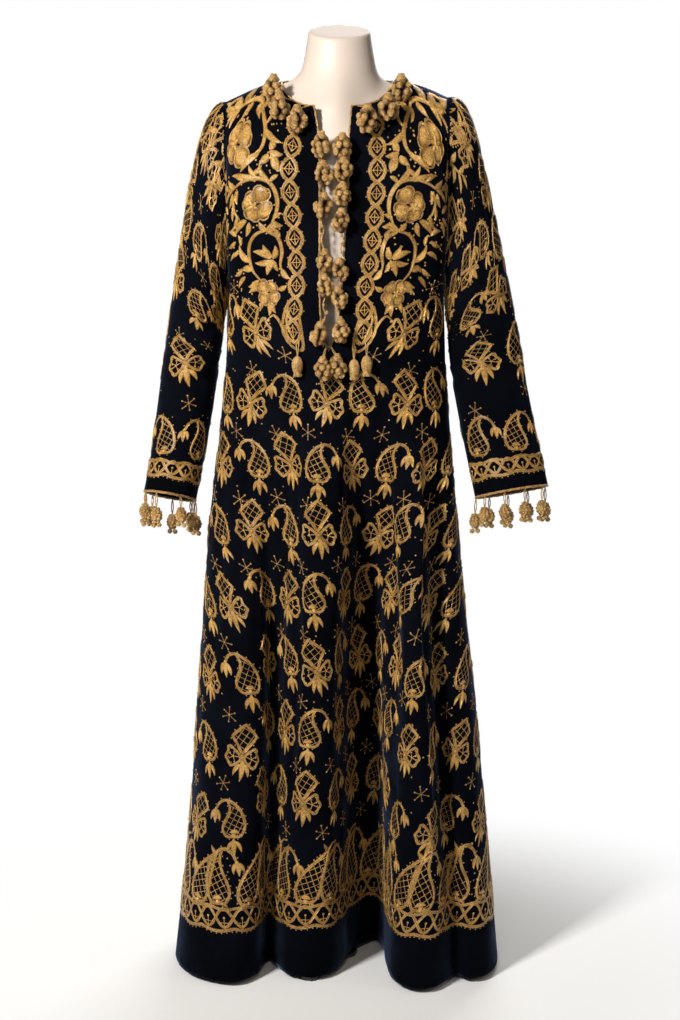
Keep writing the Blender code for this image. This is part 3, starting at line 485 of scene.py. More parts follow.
def look_up(cells, row, column):
    """What a grid holds at places between its rows and its columns."""
    low = np.clip(row.astype(int), 0, len(cells) - 2)
    left = np.clip(column.astype(int), 0, cells.shape[1] - 2)
    up, aside = (row - low)[:, None], (column - left)[:, None]
    near = cells[low, left] * (1 - aside) + cells[low, left + 1] * aside
    far = cells[low + 1, left] * (1 - aside) + cells[low + 1, left + 1] * aside
    return near * (1 - up) + far * up


class Chart:
    """A flat chart in millimetres on a grid of cloth whose rows rise."""

    TICK = 2.0
    EDGE = 1.5

    def __init__(self, grid, normals, start_column=0.0):
        rows, count = grid.shape[:2]
        self.values = np.concatenate([grid, normals], axis=2)
        run = np.linalg.norm(np.diff(grid, axis=1), axis=2) * 1000
        across = np.concatenate([np.zeros((rows, 1)), np.cumsum(run, axis=1)], axis=1)
        start = np.array([np.interp(start_column, np.arange(count), line) for line in across])
        across = across - start[:, None]
        self.up = lengths(grid[:, int(start_column + count * 0.15)]) * 1000
        self.low = across.min()
        ticks = np.arange(self.low, across.max() + self.TICK, self.TICK)
        self.ends = across[:, [0, -1]].T
        self.columns = np.array([np.interp(ticks, line, np.arange(count)) for line in across])

    def place(self, across, up, lift):
        """Points in space, their outward ways and whether they are on the cloth."""
        rows = np.arange(len(self.up))
        row = np.interp(up, self.up, rows)
        tick = np.clip((across - self.low) / self.TICK, 0, self.columns.shape[1] - 1.001)
        column = look_up(self.columns[..., None], row, tick)[:, 0]
        found = look_up(self.values, row, column)
        left, right = (np.interp(row, rows, end) for end in self.ends)
        inside = (across > left + self.EDGE) & (across < right - self.EDGE)
        inside &= (up > self.up[0] + self.EDGE) & (up < self.up[-1] - self.EDGE)
        out = unit(found[:, 3:])
        return found[:, :3] + out * (lift / 1000)[:, None], out, inside


class PanelChart:
    """The chart of a whole panel: across is negative on its left half."""

    def __init__(self, grids, normals, face):
        self.halves = [Chart(grids[side, face], normals[side, face]) for side in (-1, 1)]

    def place(self, across, up, lift):
        """Points in space, their outward ways and whether they are on the cloth."""
        points, out = np.zeros((2, len(across), 3))
        inside = np.zeros(len(across), bool)
        for half, here in zip(self.halves, (across < 0, across >= 0)):
            found = half.place(np.abs(across[here]), up[here], lift[here])
            points[here], out[here], inside[here] = found
            joined = (np.abs(across) < 2.0) & (up < half.up[SKIRT_ROWS - 1] - 2)
            inside |= here & joined & (up > half.EDGE)
        return points, out, inside


def curve(points, step=4.0, closed=False):
    """A smooth line through points, divided into runs of about one step."""
    points = np.asarray(points, float)
    if closed:
        points = np.concatenate([points[-1:], points, points[:2]])
    else:
        points = np.concatenate([2 * points[:1] - points[1:2], points,
                                 2 * points[-1:] - points[-2:-1]])
    line = []
    for before, first, second, after in zip(points, points[1:], points[2:], points[3:]):
        count = max(1, round(float(np.linalg.norm(second - first)) / step))
        part = (np.arange(count) / count)[:, None]
        line.append(hermite(first, (second - before) / 2, second, (after - first) / 2, part))
    return np.concatenate(line if closed else line + [points[-2:-1]])


def between(first, second, count, sag=0.0):
    """Points from one place to another; sag is how far the middle hangs away."""
    part = np.linspace(0, 1, count)[:, None]
    return first * (1 - part) + second * part + np.sin(pi * part) * sag


def spot(line, length, place):
    """The place at a length along a flat line."""
    return np.array([np.interp(place, length, line[:, k]) for k in (0, 1)])


class Work:
    """Collects patches of thread: points, faces, the thread's run and how dark it is, as painted
    shade and dark centre lines.
    """

    def __init__(self):
        self.parts = []
        self.count = 0

    def add(self, grid, uv, rim, closed, ring):
        """A patch from rows of points; it closes from end to end or side to side."""
        rows, count = grid.shape[:2]
        number = self.count + np.arange(rows * count).reshape(rows, count)
        if ring:
            number = np.concatenate([number, number[:, :1]], axis=1)
        if closed:
            number = np.concatenate([number, number[:1]])
        self.parts.append([grid.reshape(-1, 3), quads_of(number), uv.reshape(-1, 2),
                           np.broadcast_to(rim, (rows, count)).reshape(-1)])
        self.count += rows * count

    def gathered(self):
        """Points, faces, runs and darkness, mostly painted shade, of all patches."""
        return [np.concatenate(column) for column in zip(*self.parts)]


class Pen(Work):
    """Raised thread work drawn on the chart, in millimetres."""

    def at(self, across, up, turn=0.0, size=1.0, mirror=1.0, stretch=1.0):
        """Set where the next motif goes, how it is turned and how big it is."""
        self.origin = np.array([across, up], float)
        cosine, sine = way(radians(turn))
        scale = np.diag([mirror * size * stretch, size])
        self.matrix = np.array([[cosine, -sine], [sine, cosine]]) @ scale

    def patch(self, grid, lift, uv, closed=False, rim=0.0):
        """A patch of faces from rows of local points; its rim value darkens it with painted shade.
        """
        flat = grid @ self.matrix.T + self.origin
        lift = np.broadcast_to(lift, grid.shape[:2])
        self.add(stack(flat[..., 0], flat[..., 1], lift), uv, rim, closed, False)

    def ribbon(self, line, width, height=1.0, closed=False, sides=3, low=0.2, vein=0.0,
               painted_shade=0.0):
        """A raised band along a line; width may change along it."""
        line = np.asarray(line, float)
        run = unit(around(line) if closed else np.gradient(line, axis=0))
        width = np.broadcast_to(np.asarray(width, float), (len(line),))
        if sides == 3 and len(line) > 4:
            place = np.arange(len(line))
            width = width * (1 + 0.13 * np.sin(2.5 * place + 0.9 * np.sin(0.7 * place)))
        steps = np.linspace(-1, 1, sides)
        reach = width[:, None] / 2 * steps
        grid = line[:, None] + stack(-run[:, 1], run[:, 0])[:, None] * reach[..., None]
        full = np.clip(width / max(width.max(), 0.01), 0.25, 1.0)[:, None]
        lift = low + height * np.sqrt(np.maximum(0.0, 1 - steps**2)) * full
        # Painted shade: the band darkens towards its edges, as if its rounded sides turned from the
        # light; vein adds a dark centre line, a flat thread one even darkness
        rim = np.maximum(np.abs(steps) ** 1.3, vein * (np.abs(steps) < 0.1))
        if sides == 2:
            lift, rim = height, 0.4
        if sides == 2 or vein:
            reach = reach + 2.0 * width.max()
        # painted_shade adds more painted shade along the line
        rim = np.maximum(rim, np.broadcast_to(painted_shade, (len(line),))[:, None])
        self.patch(grid, lift, stack(lengths(line)[:, None], reach), closed, rim)

    def leaf(self, start, end, width, bend=0.0, height=1.5, blunt=0.75, vein=0.5, low=0.2,
             painted_shade=(0.0, 0.0)):
        """A filled leaf or petal, widest in its middle."""
        start = np.asarray(start, float)
        run = end - start
        long = float(np.linalg.norm(run))
        aside = np.array([-run[1], run[0]]) / max(long, 1e-6)
        part = np.linspace(0, 1, max(6, int(long / 3.5)))
        line = start + np.outer(part, run) + np.outer(bend * 4 * part * (1 - part), aside)
        profile = np.sin(pi * np.clip(part, 0.02, 0.98) ** blunt) ** 0.8
        # painted_shade runs from its first value at the base to its second near the tip
        self.ribbon(line, width * profile, height, False, 5 if width > 7 else 3, low, vein,
                    np.interp(part, [0.1, 0.8], painted_shade))

    def leaves(self, rows, scale=1.0):
        """Leaves, each from a place to its tip, with its width and bend."""
        for x, y, tip_x, tip_y, width, bend in rows:
            self.leaf((x, y), (tip_x, tip_y), width * scale, bend)

    def thread(self, first, second, width=0.9):
        """A thin flat thread."""
        first, second = np.asarray(first, float), np.asarray(second, float)
        count = max(2, round(float(np.linalg.norm(second - first)) / 9.0) + 1)
        self.ribbon(between(first, second, count), width, 0.45, sides=2)

    def dome(self, across, up, radius, height=1.2, sides=7):
        """A small knot or spangle."""
        turn = ring_turns(sides, sides + 1)
        wide, high = np.array(((1.0, 0.7, 0.05), (0.0, 0.75, 1.0)) if radius > 1.9
                              else ((1.0, 0.08), (0.0, 1.0)))
        ring = stack(np.cos(turn), np.sin(turn))
        grid = (across, up) + ring[:, None] * (radius * wide)[None, :, None]
        # Painted shade: the knot darkens towards its edge
        self.patch(grid, 0.15 + height * high, stack(turn[:, None] * radius, wide + 2.0),
                   rim=wide * 0.9)

    def picots(self, line, gap, offset, radius):
        """Small knots along the outer side of a line."""
        length = lengths(line)
        count = max(1, int(length[-1] / gap))
        for place in (np.arange(count) + 0.5) * length[-1] / count:
            run = unit(spot(line, length, place + 0.5) - spot(line, length, place - 0.5))
            tip = spot(line, length, place) + (run[1] * offset, -run[0] * offset)
            self.dome(*tip, radius, 0.9, 5)

    def lattice(self, outline, spacing, turn):
        """Crossing threads that fill an outline."""
        for angle in (radians(turn), radians(turn + 90.0)):
            run, aside = way(angle), way(angle + pi / 2)
            along, high = outline @ run, outline @ aside
            for level in np.arange(high.min() + spacing * 0.6, high.max(), spacing):
                after = np.roll(high, -1)
                cross = (high < level) != (after < level)
                part = (level - high[cross]) / (after[cross] - high[cross])
                hits = np.sort(along[cross] * (1 - part) + np.roll(along, -1)[cross] * part)
                for first, second in zip(hits[::2], hits[1::2]):
                    if second - first > 3.0:
                        self.thread(run * first + aside * level, run * second + aside * level)

    def piece(self, name, chart, dress):
        """The drawn work as one mesh on a chart of cloth."""
        flat, quads, uvs, shade_and_vein_marks = self.gathered()
        points, out, inside = chart.place(*flat.T)
        quads = quads[inside[quads].all(axis=1)]
        look = np.cross(points[quads[:, 2]] - points[quads[:, 0]],
                        points[quads[:, 3]] - points[quads[:, 1]])
        turned = (look * out[quads].mean(axis=1)).sum(axis=1) < 0
        quads[turned] = quads[turned][:, ::-1]
        quads = quads[np.linalg.norm(look, axis=1) > 1e-9]
        used, quads = np.unique(quads, return_inverse=True)
        return new_mesh(name, points[used], [quads.reshape(-1, 4)], dress, uvs[used], shade_and_vein_marks[used])


def draw_bow(pen):
    """A bow: a latticed square petal above, two netted lobes and a leafy tail."""
    petal = curve([(0, 8), (-8, 22), (-17, 37), (-15, 40), (4, 56), (8, 58), (11, 55), (25, 38),
                   (25, 34), (12, 20)], closed=True)
    pen.lattice(petal, 10.5, 55.0)
    pen.ribbon(petal, 5.9, 1.3, closed=True)
    pen.picots(petal[3:-3], 13.0, -4.6, 1.7)
    for side, drop in ((-1, 1.5), (1, -3.5)):
        lobe = curve([(side * x, y + drop * share) for x, y, share in (
            (3, 1, 0), (11, 10, 0.5), (22, 18, 1), (26, 16, 1), (26, 8, 1), (31, -2, 1),
            (27, -8, 1), (21, -17, 1), (11, -12, 0.5), (4, -5, 0))], closed=True)
        pen.ribbon(lobe, 5.3, 1.3, closed=True)
        pen.picots(lobe[2:-2], 12.0, 4.4 * side, 1.6)
        hub = np.array([side * 16.5, drop])
        for angle in (75, 150, 210, 290):
            pen.thread(hub, hub + way(radians(angle)) * (-10 * side, 10.5), 1.2)
        pen.thread((side * 7, 1), hub, 1.3)
        pen.dome(*hub, 2.0, 0.8, 6)
    pen.leaves(((0, -4, -3, -43, 11, 1.5), (-3, -12, -16, -33, 8.5, -2.5),
                (3, -12, 11, -35, 8.5, 2.5)))
    pen.ribbon(curve([(-5, 0), (0, 5), (5, 0), (0, -5)], closed=True), 3.4, 1.9, True, low=0.7)
    pen.dome(0, 0, 2.6, 2.4, 8)


def draw_netted(pen, body, outer, inner, knots):
    """A body of net with two bands; knots gives their widths and the knots along them."""
    pen.lattice(body, 9.5, 28.0)
    for line, (width, gap, offset, radius) in zip((outer, inner), knots):
        pen.ribbon(line, width, 1.3)
        pen.picots(line, gap, offset, radius)
    pen.leaf((-8, 9), (8, 9), 9.0, 2.0, 1.8)
    pen.dome(0, 4, 4.0, 2.0, 8)


def draw_paisley(pen, tall=1.0, tail=True, sprig=28.0):
    """A paisley: a latticed drop with a hooked neck, a hanging flower and a leafy tail."""
    outer = curve([(x, y * tall) for x, y in (
        (0, 1), (-13, 3), (-20, 18), (-18, 36), (-10, 53), (4, 65), (17, 68), (29, 62), (36, 51))])
    inner = curve([(x, y * tall) for x, y in (
        (11, 66), (7, 56), (10, 42), (18, 28), (22, 14), (14, 2), (0, 1))])
    widths = np.interp(np.linspace(0, 1, len(outer)), [0, 0.7, 1], [5.7, 6.2, 5.0])
    draw_netted(pen, np.concatenate([outer[: len(outer) * 5 // 9], inner]), outer, inner,
                ((widths, 14.0, -4.6, 1.5), (5.2, 16.0, -4.2, 1.4)))
    low, y = 0.1 * sprig, 53 * tall
    pen.leaves(((36, y, 39, y - sprig, sprig * 0.40, 1),
                (35, y - low, 39 - sprig * 0.36, y - sprig * 0.84, sprig * 0.32, -2),
                (37, y - low, 39 + sprig * 0.36, y - sprig * 0.80, sprig * 0.32, 2)))
    pen.dome(36, 52 * tall, 3.2, 1.8)
    if tail:
        pen.leaves(((0, -2, 0, -34, 11, 1), (-2, -7, -13, -28, 8, -2.5),
                    (2, -7, 13, -27, 8, 2.5)))


def draw_drop(pen):
    """A latticed drop that leans to a long pointed tip."""
    outer = curve([(0, 1), (-14, 4), (-20, 20), (-16, 40), (-5, 60), (10, 78), (27, 94)])
    inner = curve([(27, 94), (25, 74), (23, 50), (22, 26), (15, 7), (0, 1)])
    draw_netted(pen, np.concatenate([outer, inner[1:-1]]), outer, inner,
                ((6.2, 12.0, -4.4, 1.6), (5.6, 15.0, -4.2, 1.4)))
    draw_comma(pen, ((24, 84), (27, 96), (35, 104), (45, 106)), 5.0)
    pen.leaf((27, 94), (14, 104), 7.0, 2.0)
    pen.dome(46, 107, 2.4, 1.4, 6)


def draw_star(pen, rays=6, long=14.0):
    """A star of thin rays with a knot at each tip."""
    for step in range(rays):
        tip = way(2 * pi * (step + 0.2) / rays, long * (1.0 if step % 2 else 0.86))
        pen.ribbon([tip * 0, tip / 2, tip], 1.5, 0.8)
        pen.dome(*tip, 1.8, 1.2, 6)
    pen.dome(0, 0, 1.8, 1.4, 6)


def draw_flower(pen, radius, petals, turn):
    """A big blossom: broad satin petals with a thin rim, and a leafy heart set off centre."""
    for step in range(petals):
        far = radius * (1.0 + 0.14 * sin(2.3 * step + turn))
        run = way(radians(turn) + 2 * pi * step / petals, far)
        half = radius * 2.15 / petals
        aside = np.array([-run[1], run[0]]) / far * half
        # Painted shade on each petal: dark near the heart and lighter to the tip, every other tip a
        # little darker
        pen.leaf(run * 0.06, run * 1.04, half * 2.0, 0.0, 1.7, 1.45, 0.04,
                 painted_shade=(0.85, 0.05 + 0.3 * (step % 2)))
        rim = curve([run * out + aside * wide for out, wide in (
            (0.20, 0), (0.46, -0.88), (0.80, -1.04), (1.01, -0.55), (0.96, 0), (1.04, 0.52),
            (0.80, 1.04), (0.46, 0.88))], closed=True)
        pen.ribbon(rim, 3.0, 1.9 + 0.2 * (step % 2), closed=True)
    heart = way(radians(turn - 50), radius * 0.22)
    for step in range(5):
        tip = heart + way(radians(turn + 30) + 2 * pi * step / 5,
                          radius * (0.42 - 0.08 * (step % 2)))
        pen.leaf(heart, tip, radius * 0.26, 0.0, 1.3, 1.1, 0.1, 1.5)
    pen.dome(*heart, radius * 0.12, 3.4, 8)


def draw_comma(pen, points, wide):
    """A broad curling stem that tapers to both ends."""
    line = curve(points)
    width = np.interp(np.linspace(0, 1, len(line)), [0, 0.25, 0.6, 1], [0.5, 0.95, 1.0, 0.35])
    pen.ribbon(line, 0.92 * wide * width, 1.5, sides=5, vein=0.6)


SPRAY = ((3, -22, 22, -36, 10, -2), (6, -10, 30, -12, 11, 2), (4, 2, 26, 14, 11, 3),
         (-2, 16, 14, 38, 11, 3), (-12, 26, -16, 50, 10, 2), (-2, -20, -22, -28, 10, 2),
         (2, -6, -22, -4, 11, -2), (-6, 16, -30, 20, 10, -3))


def draw_spray(pen):
    """A curved stem with broad leaves on both sides."""
    draw_comma(pen, ((-2, -34), (6, -14), (0, 10), (-14, 28)), 7.0)
    pen.leaves(SPRAY)
    for across, up in ((20, 26), (-26, 36), (30, 0), (-26, -14), (16, -44)):
        pen.dome(across, up, 1.9, 1.1, 6)


# The chest scroll: each roundel's centre, its stretch, its blossom (across, up, radius, petals,
# turn), stems (width, points) and leaves, in millimetres outward and up from the centre
ROUNDELS = (
    ((138, 1343), 1.20, (-3, -6, 25, 4, 60), (
        (8.0, ((-30, -24), (-40, -8), (-40, 12), (-28, 30), (-8, 40), (14, 38), (30, 24),
               (35, 4), (34, -16), (25, -34))),
        (6.5, ((34, 2), (43, -12), (43, -28), (34, -37))),
        (6.0, ((-38, 16), (-44, 34), (-34, 50), (-20, 54)))), (
        (-39, 13, -66, -3, 10, 3), (-50, -16, -68, -20, 11, 2), (-50, -14, -54, 4, 10, 2),
        (-52, -20, -61, -46, 11, -2), (-48, -20, -36, -34, 11, -2), (-34, -20, -9, -42, 10, 3),
        (-36, -14, -20, -30, 7, -2), (-22, 34, -26, 62, 10, 3), (-8, 40, -4, 71, 11, 3),
        (8, 40, 17, 69, 11, -3), (16, 37, 33, 58, 11, -3), (24, 31, 46, 44, 11, 3),
        (30, 21, 56, 30, 11, -3), (34, 6, 57, 8, 10, 2), (36, -6, 54, -14, 10, -2),
        (32, -28, 50, -40, 9, 2), (-12, 44, -18, 72, 8, -2), (-34, 46, -50, 62, 9, 2),
        (-40, 40, -60, 42, 9, -2), (38, 40, 60, 60, 9, 2), (2, 56, 12, 78, 8, 2),
        (-16, 36, -26, 20, 9, 2), (-2, 37, 2, 20, 9, -2), (14, 34, 20, 18, 9, 2))),
    ((102, 1249), 1.0, (-2, -2, 27, 4, 30), (
        (8.5, ((-27, -33), (-36, -10), (-35, 14), (-22, 34), (0, 40), (22, 36), (42, 28),
               (54, 32))),
        (6.0, ((34, 24), (40, 8), (38, -8), (28, -22)))), (
        (-24, 34, -8, 60, 10, -4), (-10, 39, 30, 51, 10, -3), (20, 37, 42, 50, 9, 3),
        (35, 29, 54, 47, 10, -3), (40, 28, 60, 18, 10, 3), (30, 24, 32, 3, 9, 3),
        (42, 22, 52, 2, 10, -2), (38, 2, 44, -20, 9, 2), (32, -14, 44, -34, 9, -2),
        (16, -24, 40, -43, 11, 3), (12, -28, 19, -49, 10, -2), (20, -22, 48, -32, 8, -2),
        (-28, -30, -45, -35, 10, 2), (-30, -24, -44, -16, 8, -2), (-4, 40, 10, 60, 8, -2),
        (54, 30, 70, 40, 9, 2), (54, 26, 70, 16, 9, -2))),
    ((88, 1171), 1.0, (-4, -61, 20, 4, 40), (
        (7.5, ((-14, 47), (-6, 36), (-22, 26), (-29, 4), (-26, -18), (-30, -34))),
        (7.5, ((-4, 36), (14, 31), (27, 16), (29, -6), (22, -28), (6, -46)))), (
        (-8, 36, -20, 50, 10, 3), (-4, 38, 8, 50, 10, -3), (-13, -8, -18, 12, 11, 3),
        (-12, -6, 2, 14, 11, -3), (-10, -8, 21, 4, 11, 3), (-10, -11, 18, -14, 10, -3),
        (-14, -10, -2, -34, 12, 2), (-16, -12, -22, -28, 8, 2), (28, -12, 47, 18, 11, -6),
        (25, -26, 47, -24, 12, 3), (14, -42, 34, -52, 11, -3), (-28, -24, -42, -40, 10, 3),
        (12, -54, 34, -62, 9, 2), (-10, -76, -16, -94, 9, 2), (-4, -78, -4, -98, 9, -2),
        (4, -76, 12, -90, 9, 2), (-22, -56, -36, -50, 9, 2), (44, 16, 48, 34, 7, 2))))
# Leaves outside the roundels, from the chart's own middle
CHEST_LEAVES = (
    (168, 1300, 190, 1322, 10, 3), (166, 1296, 188, 1292, 10, -3), (164, 1290, 176, 1268, 10, 3),
    (182, 1338, 200, 1354, 9, 3), (180, 1352, 190, 1376, 9, -3), (160, 1244, 182, 1262, 10, 3),
    (162, 1238, 184, 1232, 10, -3), (158, 1230, 172, 1210, 10, 3), (140, 1204, 160, 1216, 9, 3),
    (142, 1196, 164, 1192, 9, -3), (138, 1176, 160, 1168, 9, 3), (134, 1150, 152, 1140, 9, -3),
    (128, 1136, 146, 1118, 9, 2), (176, 1398, 196, 1392, 8, 2), (106, 1296, 90, 1308, 9, 3),
    (66, 1300, 74, 1322, 9, -2), (64, 1292, 78, 1280, 8, 2), (62, 1196, 74, 1210, 8, 2))


def draw_vine(pen, side):
    """The scrolling vine of one side of the chest: roundels with blossoms and leaves."""
    for (middle, level), stretch, (across, up, *flower), stems, leaves in ROUNDELS:
        pen.at(middle * side, level, mirror=side, stretch=stretch)
        for width, points in stems:
            draw_comma(pen, points, width)
        pen.leaves(leaves, 1.04)
        pen.at((middle + across) * side, level + up, mirror=side, stretch=0.95)
        draw_flower(pen, *flower)


def draw_chain(pen, line, half=14.5, link=38.0):
    """A column of latticed ovals between two crossing bands."""
    line = curve(line, 3.0)
    length = lengths(line)
    links = max(1, round(length[-1] / link))
    run = unit(np.gradient(line, axis=0))
    aside = stack(-run[:, 1], run[:, 0])
    swing = np.sin(length / length[-1] * links * pi)
    wave = (half - 2.6) * np.sign(swing) * np.abs(swing) ** 0.75
    for side in (-1, 1):
        pen.ribbon(line + aside * (wave * side)[:, None], 6.2, 1.3 + 0.25 * side)
        pen.picots(line + aside * ((half - 1.0) * np.abs(swing) * side)[:, None], 12.0,
                   -3.0 * side, 1.4)
    for step in range(links):
        middle = (step + 0.5) / links * length[-1]
        low, here, high = (spot(line, length, middle + shift) for shift in (-9.5, 0.0, 9.5))
        out = spot(aside, length, middle)
        for near, far in (
            (low, here + out * 7), (here + out * 7, high), (high, here - out * 7),
            (here - out * 7, low), (here - out * 9, here + out * 9), (low * 1.1 - high * 0.1, high),
        ):
            pen.thread(near, far, 1.2)


def draw_border(pen, start, end, base, high, pitch, swing=1.0):
    """A lace band: two crossing waves between a straight and a scalloped edge."""
    across = np.arange(start, end, 4.0)
    phase = (across - start) / pitch * 2 * pi
    middle = base + high * 0.55
    scallop = stack(across, base + 4.0 * swing - 5.0 * swing * np.abs(np.sin(phase / 2)))
    pen.ribbon(scallop, 5.6, 1.2)
    pen.ribbon(stack(across, base + high - 2 + 2.0 * np.sin(phase)), 5.2, 1.2)
    for side in (-1, 1):
        pen.ribbon(stack(across, middle + side * (high * 0.40) * np.sin(phase)), 5.2,
                   1.3 + 0.3 * side)
    pen.picots(scallop, 9.0, 4.0, 1.4)
    for place in np.arange(start + pitch / 4, end, pitch / 2):
        pen.dome(place, middle, 2.2, 1.0, 6)
        pen.thread((place, base + 3), (place, middle - 2), 1.2)
        pen.thread((place - 6, middle - 8), (place + 6, middle - 8), 1.2)
        for aside in (-8, 8):
            pen.dome(place + aside, base + high * 0.8, 1.5, 1.0, 6)


# Motifs of the sleeves by side (across, up, turn or hook); the last ones are behind the arm
BACK_BOWS = ((218, 390, 0), (268, 500, 6), (264, 400, -6), (-128, 500, 4))
SLEEVE_BOWS = {
    -1: ((48, 565, 20), (4, 214, -12), (70, 345, -6), (130, 470, 10), (160, 250, 0),
         (-72, 400, 10), (106, 565, -10), (-46, 560, 12), (206, 520, 8), (222, 280, -8),
         *BACK_BOWS),
    1: ((-4, 555, 24), (-6, 450, 20), (42, 330, 12), (-14, 212, 10), (120, 470, -10),
        (150, 250, 0), (-70, 470, 10), (106, 575, 8), (206, 520, -8), (222, 270, 6),
        *BACK_BOWS),
}
BACK_PAISLEYS = ((185, 330, 1), (160, 560, 1), (215, 180, 1), (172, 440, 1), (305, 560, 1),
                 (-110, 400, 1), (-140, 590, 1), (258, 320, 1))
SLEEVE_PAISLEYS = {
    -1: ((30, 460, -1), (-44, 470, -1), (-4, 350, -1), (92, 430, 1), (95, 255, 1),
         (150, 140, 1), *BACK_PAISLEYS),
    1: ((48, 440, -1), (-22, 340, 1), (58, 222, 1), (95, 385, 1), (110, 290, 1),
        (150, 150, 1), *BACK_PAISLEYS),
}
SLEEVE_SPRAYS = ((-28, 632, 20), (28, 640, -10), (84, 652, 15), (140, 640, -20), (196, 620, 10),
                 (236, 590, 0), (-66, 596, -15), (56, 600, 160), (112, 606, 200))
SLEEVE_STARS = {
    -1: ((23, 266), (-31, 273), (-10, 149), (80, 468), (60, 400), (85, 190), (130, 330),
         (-5, 430), (60, 510)),
    1: ((-8, 429), (-3, 276), (-37, 134), (62, 160), (65, 390), (-35, 330), (130, 330),
        (75, 300), (60, 520)),
}
SLEEVE_STRETCH = 1.12
CHAIN_LINES = {
    -1: ((-40, 1392), (-40, 1350), (-47, 1296), (-42, 1237), (-37, 1186), (-35, 1140),
         (-37, 1108), (-44, 1062), (-47, 1030)),
    1: ((44, 1392), (44, 1355), (44, 1301), (44, 1222), (42, 1184), (40, 1144), (36, 1112),
        (41, 1066), (45, 1030)),
}
# Rows of motifs on the front and back, in millimetres
TOP_ROW = 938.0
ROW_PITCH = 107.0
ROW_LEAN = -85.0
ROW_DROP = 46.0
COLUMN_PITCH = 66.0
FLARE_SPREAD = 0.12
HEM_BAND = 82.0
BORDER_HIGH = 38.0
BORDER_PITCH = 49.0
BORDER_START = -138.0
BORDER_TOP = HEM_BAND + BORDER_HIGH
# How many small knots are strewn between the motifs
CHEST_DOTS = 170
PANEL_DOTS = 420
SLEEVE_DOTS = 60


def draw_rows(pen, face, left, right, draws):
    """Bows and paisleys in turn, row under row, with stars between them."""
    for row in range(-4 if face > 0 else 0, 7):
        fall = max(row, 0) / 6.0
        spread = COLUMN_PITCH * (1.0 + FLARE_SPREAD * fall)
        for place in range(-11, 12):
            across = -9.0 + (ROW_LEAN * fall if face < 0 else 0.0) + place * spread
            if not left + 22 < across < right - 22:
                continue
            hook = 1 if place >= 0 else -1
            apart = max(-2.0 - place, place - 4.0, 0.0)
            level = TOP_ROW - row * ROW_PITCH - ROW_DROP * fall**2 * min(apart, 1.0)
            turn = draws.uniform(-13, 13)
            size = draws.uniform(0.86, 0.93)
            jump = draws.uniform(-5, 5)
            if (place + row) % 2:
                pen.at(across - 9 * hook, level - 18 + jump, turn * 0.5, size, hook)
                draw_paisley(pen)
            else:
                pen.at(across, level - 2 + jump, turn, size, 1 if draws.uniform() < 0.6 else -1)
                draw_bow(pen)
            star = draws.uniform(-5, 5, 2)
            spin = draws.uniform(0, 40)
            if draws.uniform() < 0.85 and (row < 6 or apart == 0):
                pen.at(across + spread / 2 + star[0], level - ROW_PITCH / 2 + star[1], spin, 0.92)
                draw_star(pen)


def draw_chest(pen, draws):
    """What the chest of the front carries: chains, scrolls, and one bow and paisley a side."""
    for side in (-1, 1):
        pen.at(0, 0)
        draw_chain(pen, CHAIN_LINES[side])
        draw_vine(pen, side)
        pen.at(0, 0, mirror=side)
        pen.ribbon(curve([(33, 1072), (31, 1048), (35, 1026), (45, 1018), (56, 1028), (62, 1052),
                          (58, 1074), (52, 1090)]), 5.2, 1.4)
        draw_comma(pen, ((60, 1046), (66, 1064), (76, 1074), (86, 1068)), 5.5)
        draw_comma(pen, ((46, 1084), (54, 1068), (50, 1048), (46, 1030)), 5.0)
        pen.dome(86, 1066, 3.0)
        pen.leaves(CHEST_LEAVES)
        for across, up, spin in ((73, 1010, 10), (137, 986, 30), (160, 1120, 5)):
            pen.at(across * side, up, spin, 0.95)
            draw_star(pen)
        pen.at(112 * side, 1046, -14 * side, 0.96, side)
        draw_bow(pen)
        pen.at(186 * side, 1040, 4.0, 0.95, -side)
        draw_paisley(pen)
        pen.at(0, 0)
        for _ in range(CHEST_DOTS):
            pen.dome(side * draws.uniform(62, 215), draws.uniform(1085, 1405), 1.8, 1.0, 6)


def draw_panel(pen, face, left, right, draws):
    """All the thread work of the front or the back panel."""
    draw_rows(pen, face, left, right, draws)
    if face < 0:
        draw_chest(pen, draws)
    else:
        for across in (-172, -128, -84, 84, 128, 172):
            pen.at(across, 1432 - abs(across) * 0.16, 90.0 + across * 0.1, 0.95)
            draw_spray(pen)
    first = BORDER_START + 2 * BORDER_PITCH * ceil((left - BORDER_START) / (2 * BORDER_PITCH))
    hook = -face
    for place, across in enumerate(np.arange(first, right, BORDER_PITCH)):
        if place % 2:
            pen.at(across + 4 * hook, BORDER_TOP + draws.uniform(-3, 3),
                   draws.uniform(-12, -2) * hook, 0.98, hook)
            draw_drop(pen)
        else:
            pen.at(across, BORDER_TOP + 2 + draws.uniform(-2, 4), draws.uniform(-6, 6), 1.02, hook)
            draw_paisley(pen, 1.30, False, 24.0)
        pen.leaves(((-17, -5, -3, 4, 6, 2), (17, -5, 3, 4, 6, -2)))
        pen.at(across + 24 * hook, BORDER_TOP + 14)
        for step in range(7):
            pen.dome(draws.uniform(-7, 7), 11.0 * step, 1.5, 1.0, 6)
    pen.at(0, 0)
    draw_border(pen, left + 1, right - 1, HEM_BAND, BORDER_HIGH, 60.0)
    for _ in range(PANEL_DOTS):
        across = draws.uniform(left, right)
        up = draws.uniform(240, 1380)
        if face > 0 or up <= 1000 or abs(across) >= 60:
            pen.dome(across, up, 1.5, 0.9, 6)


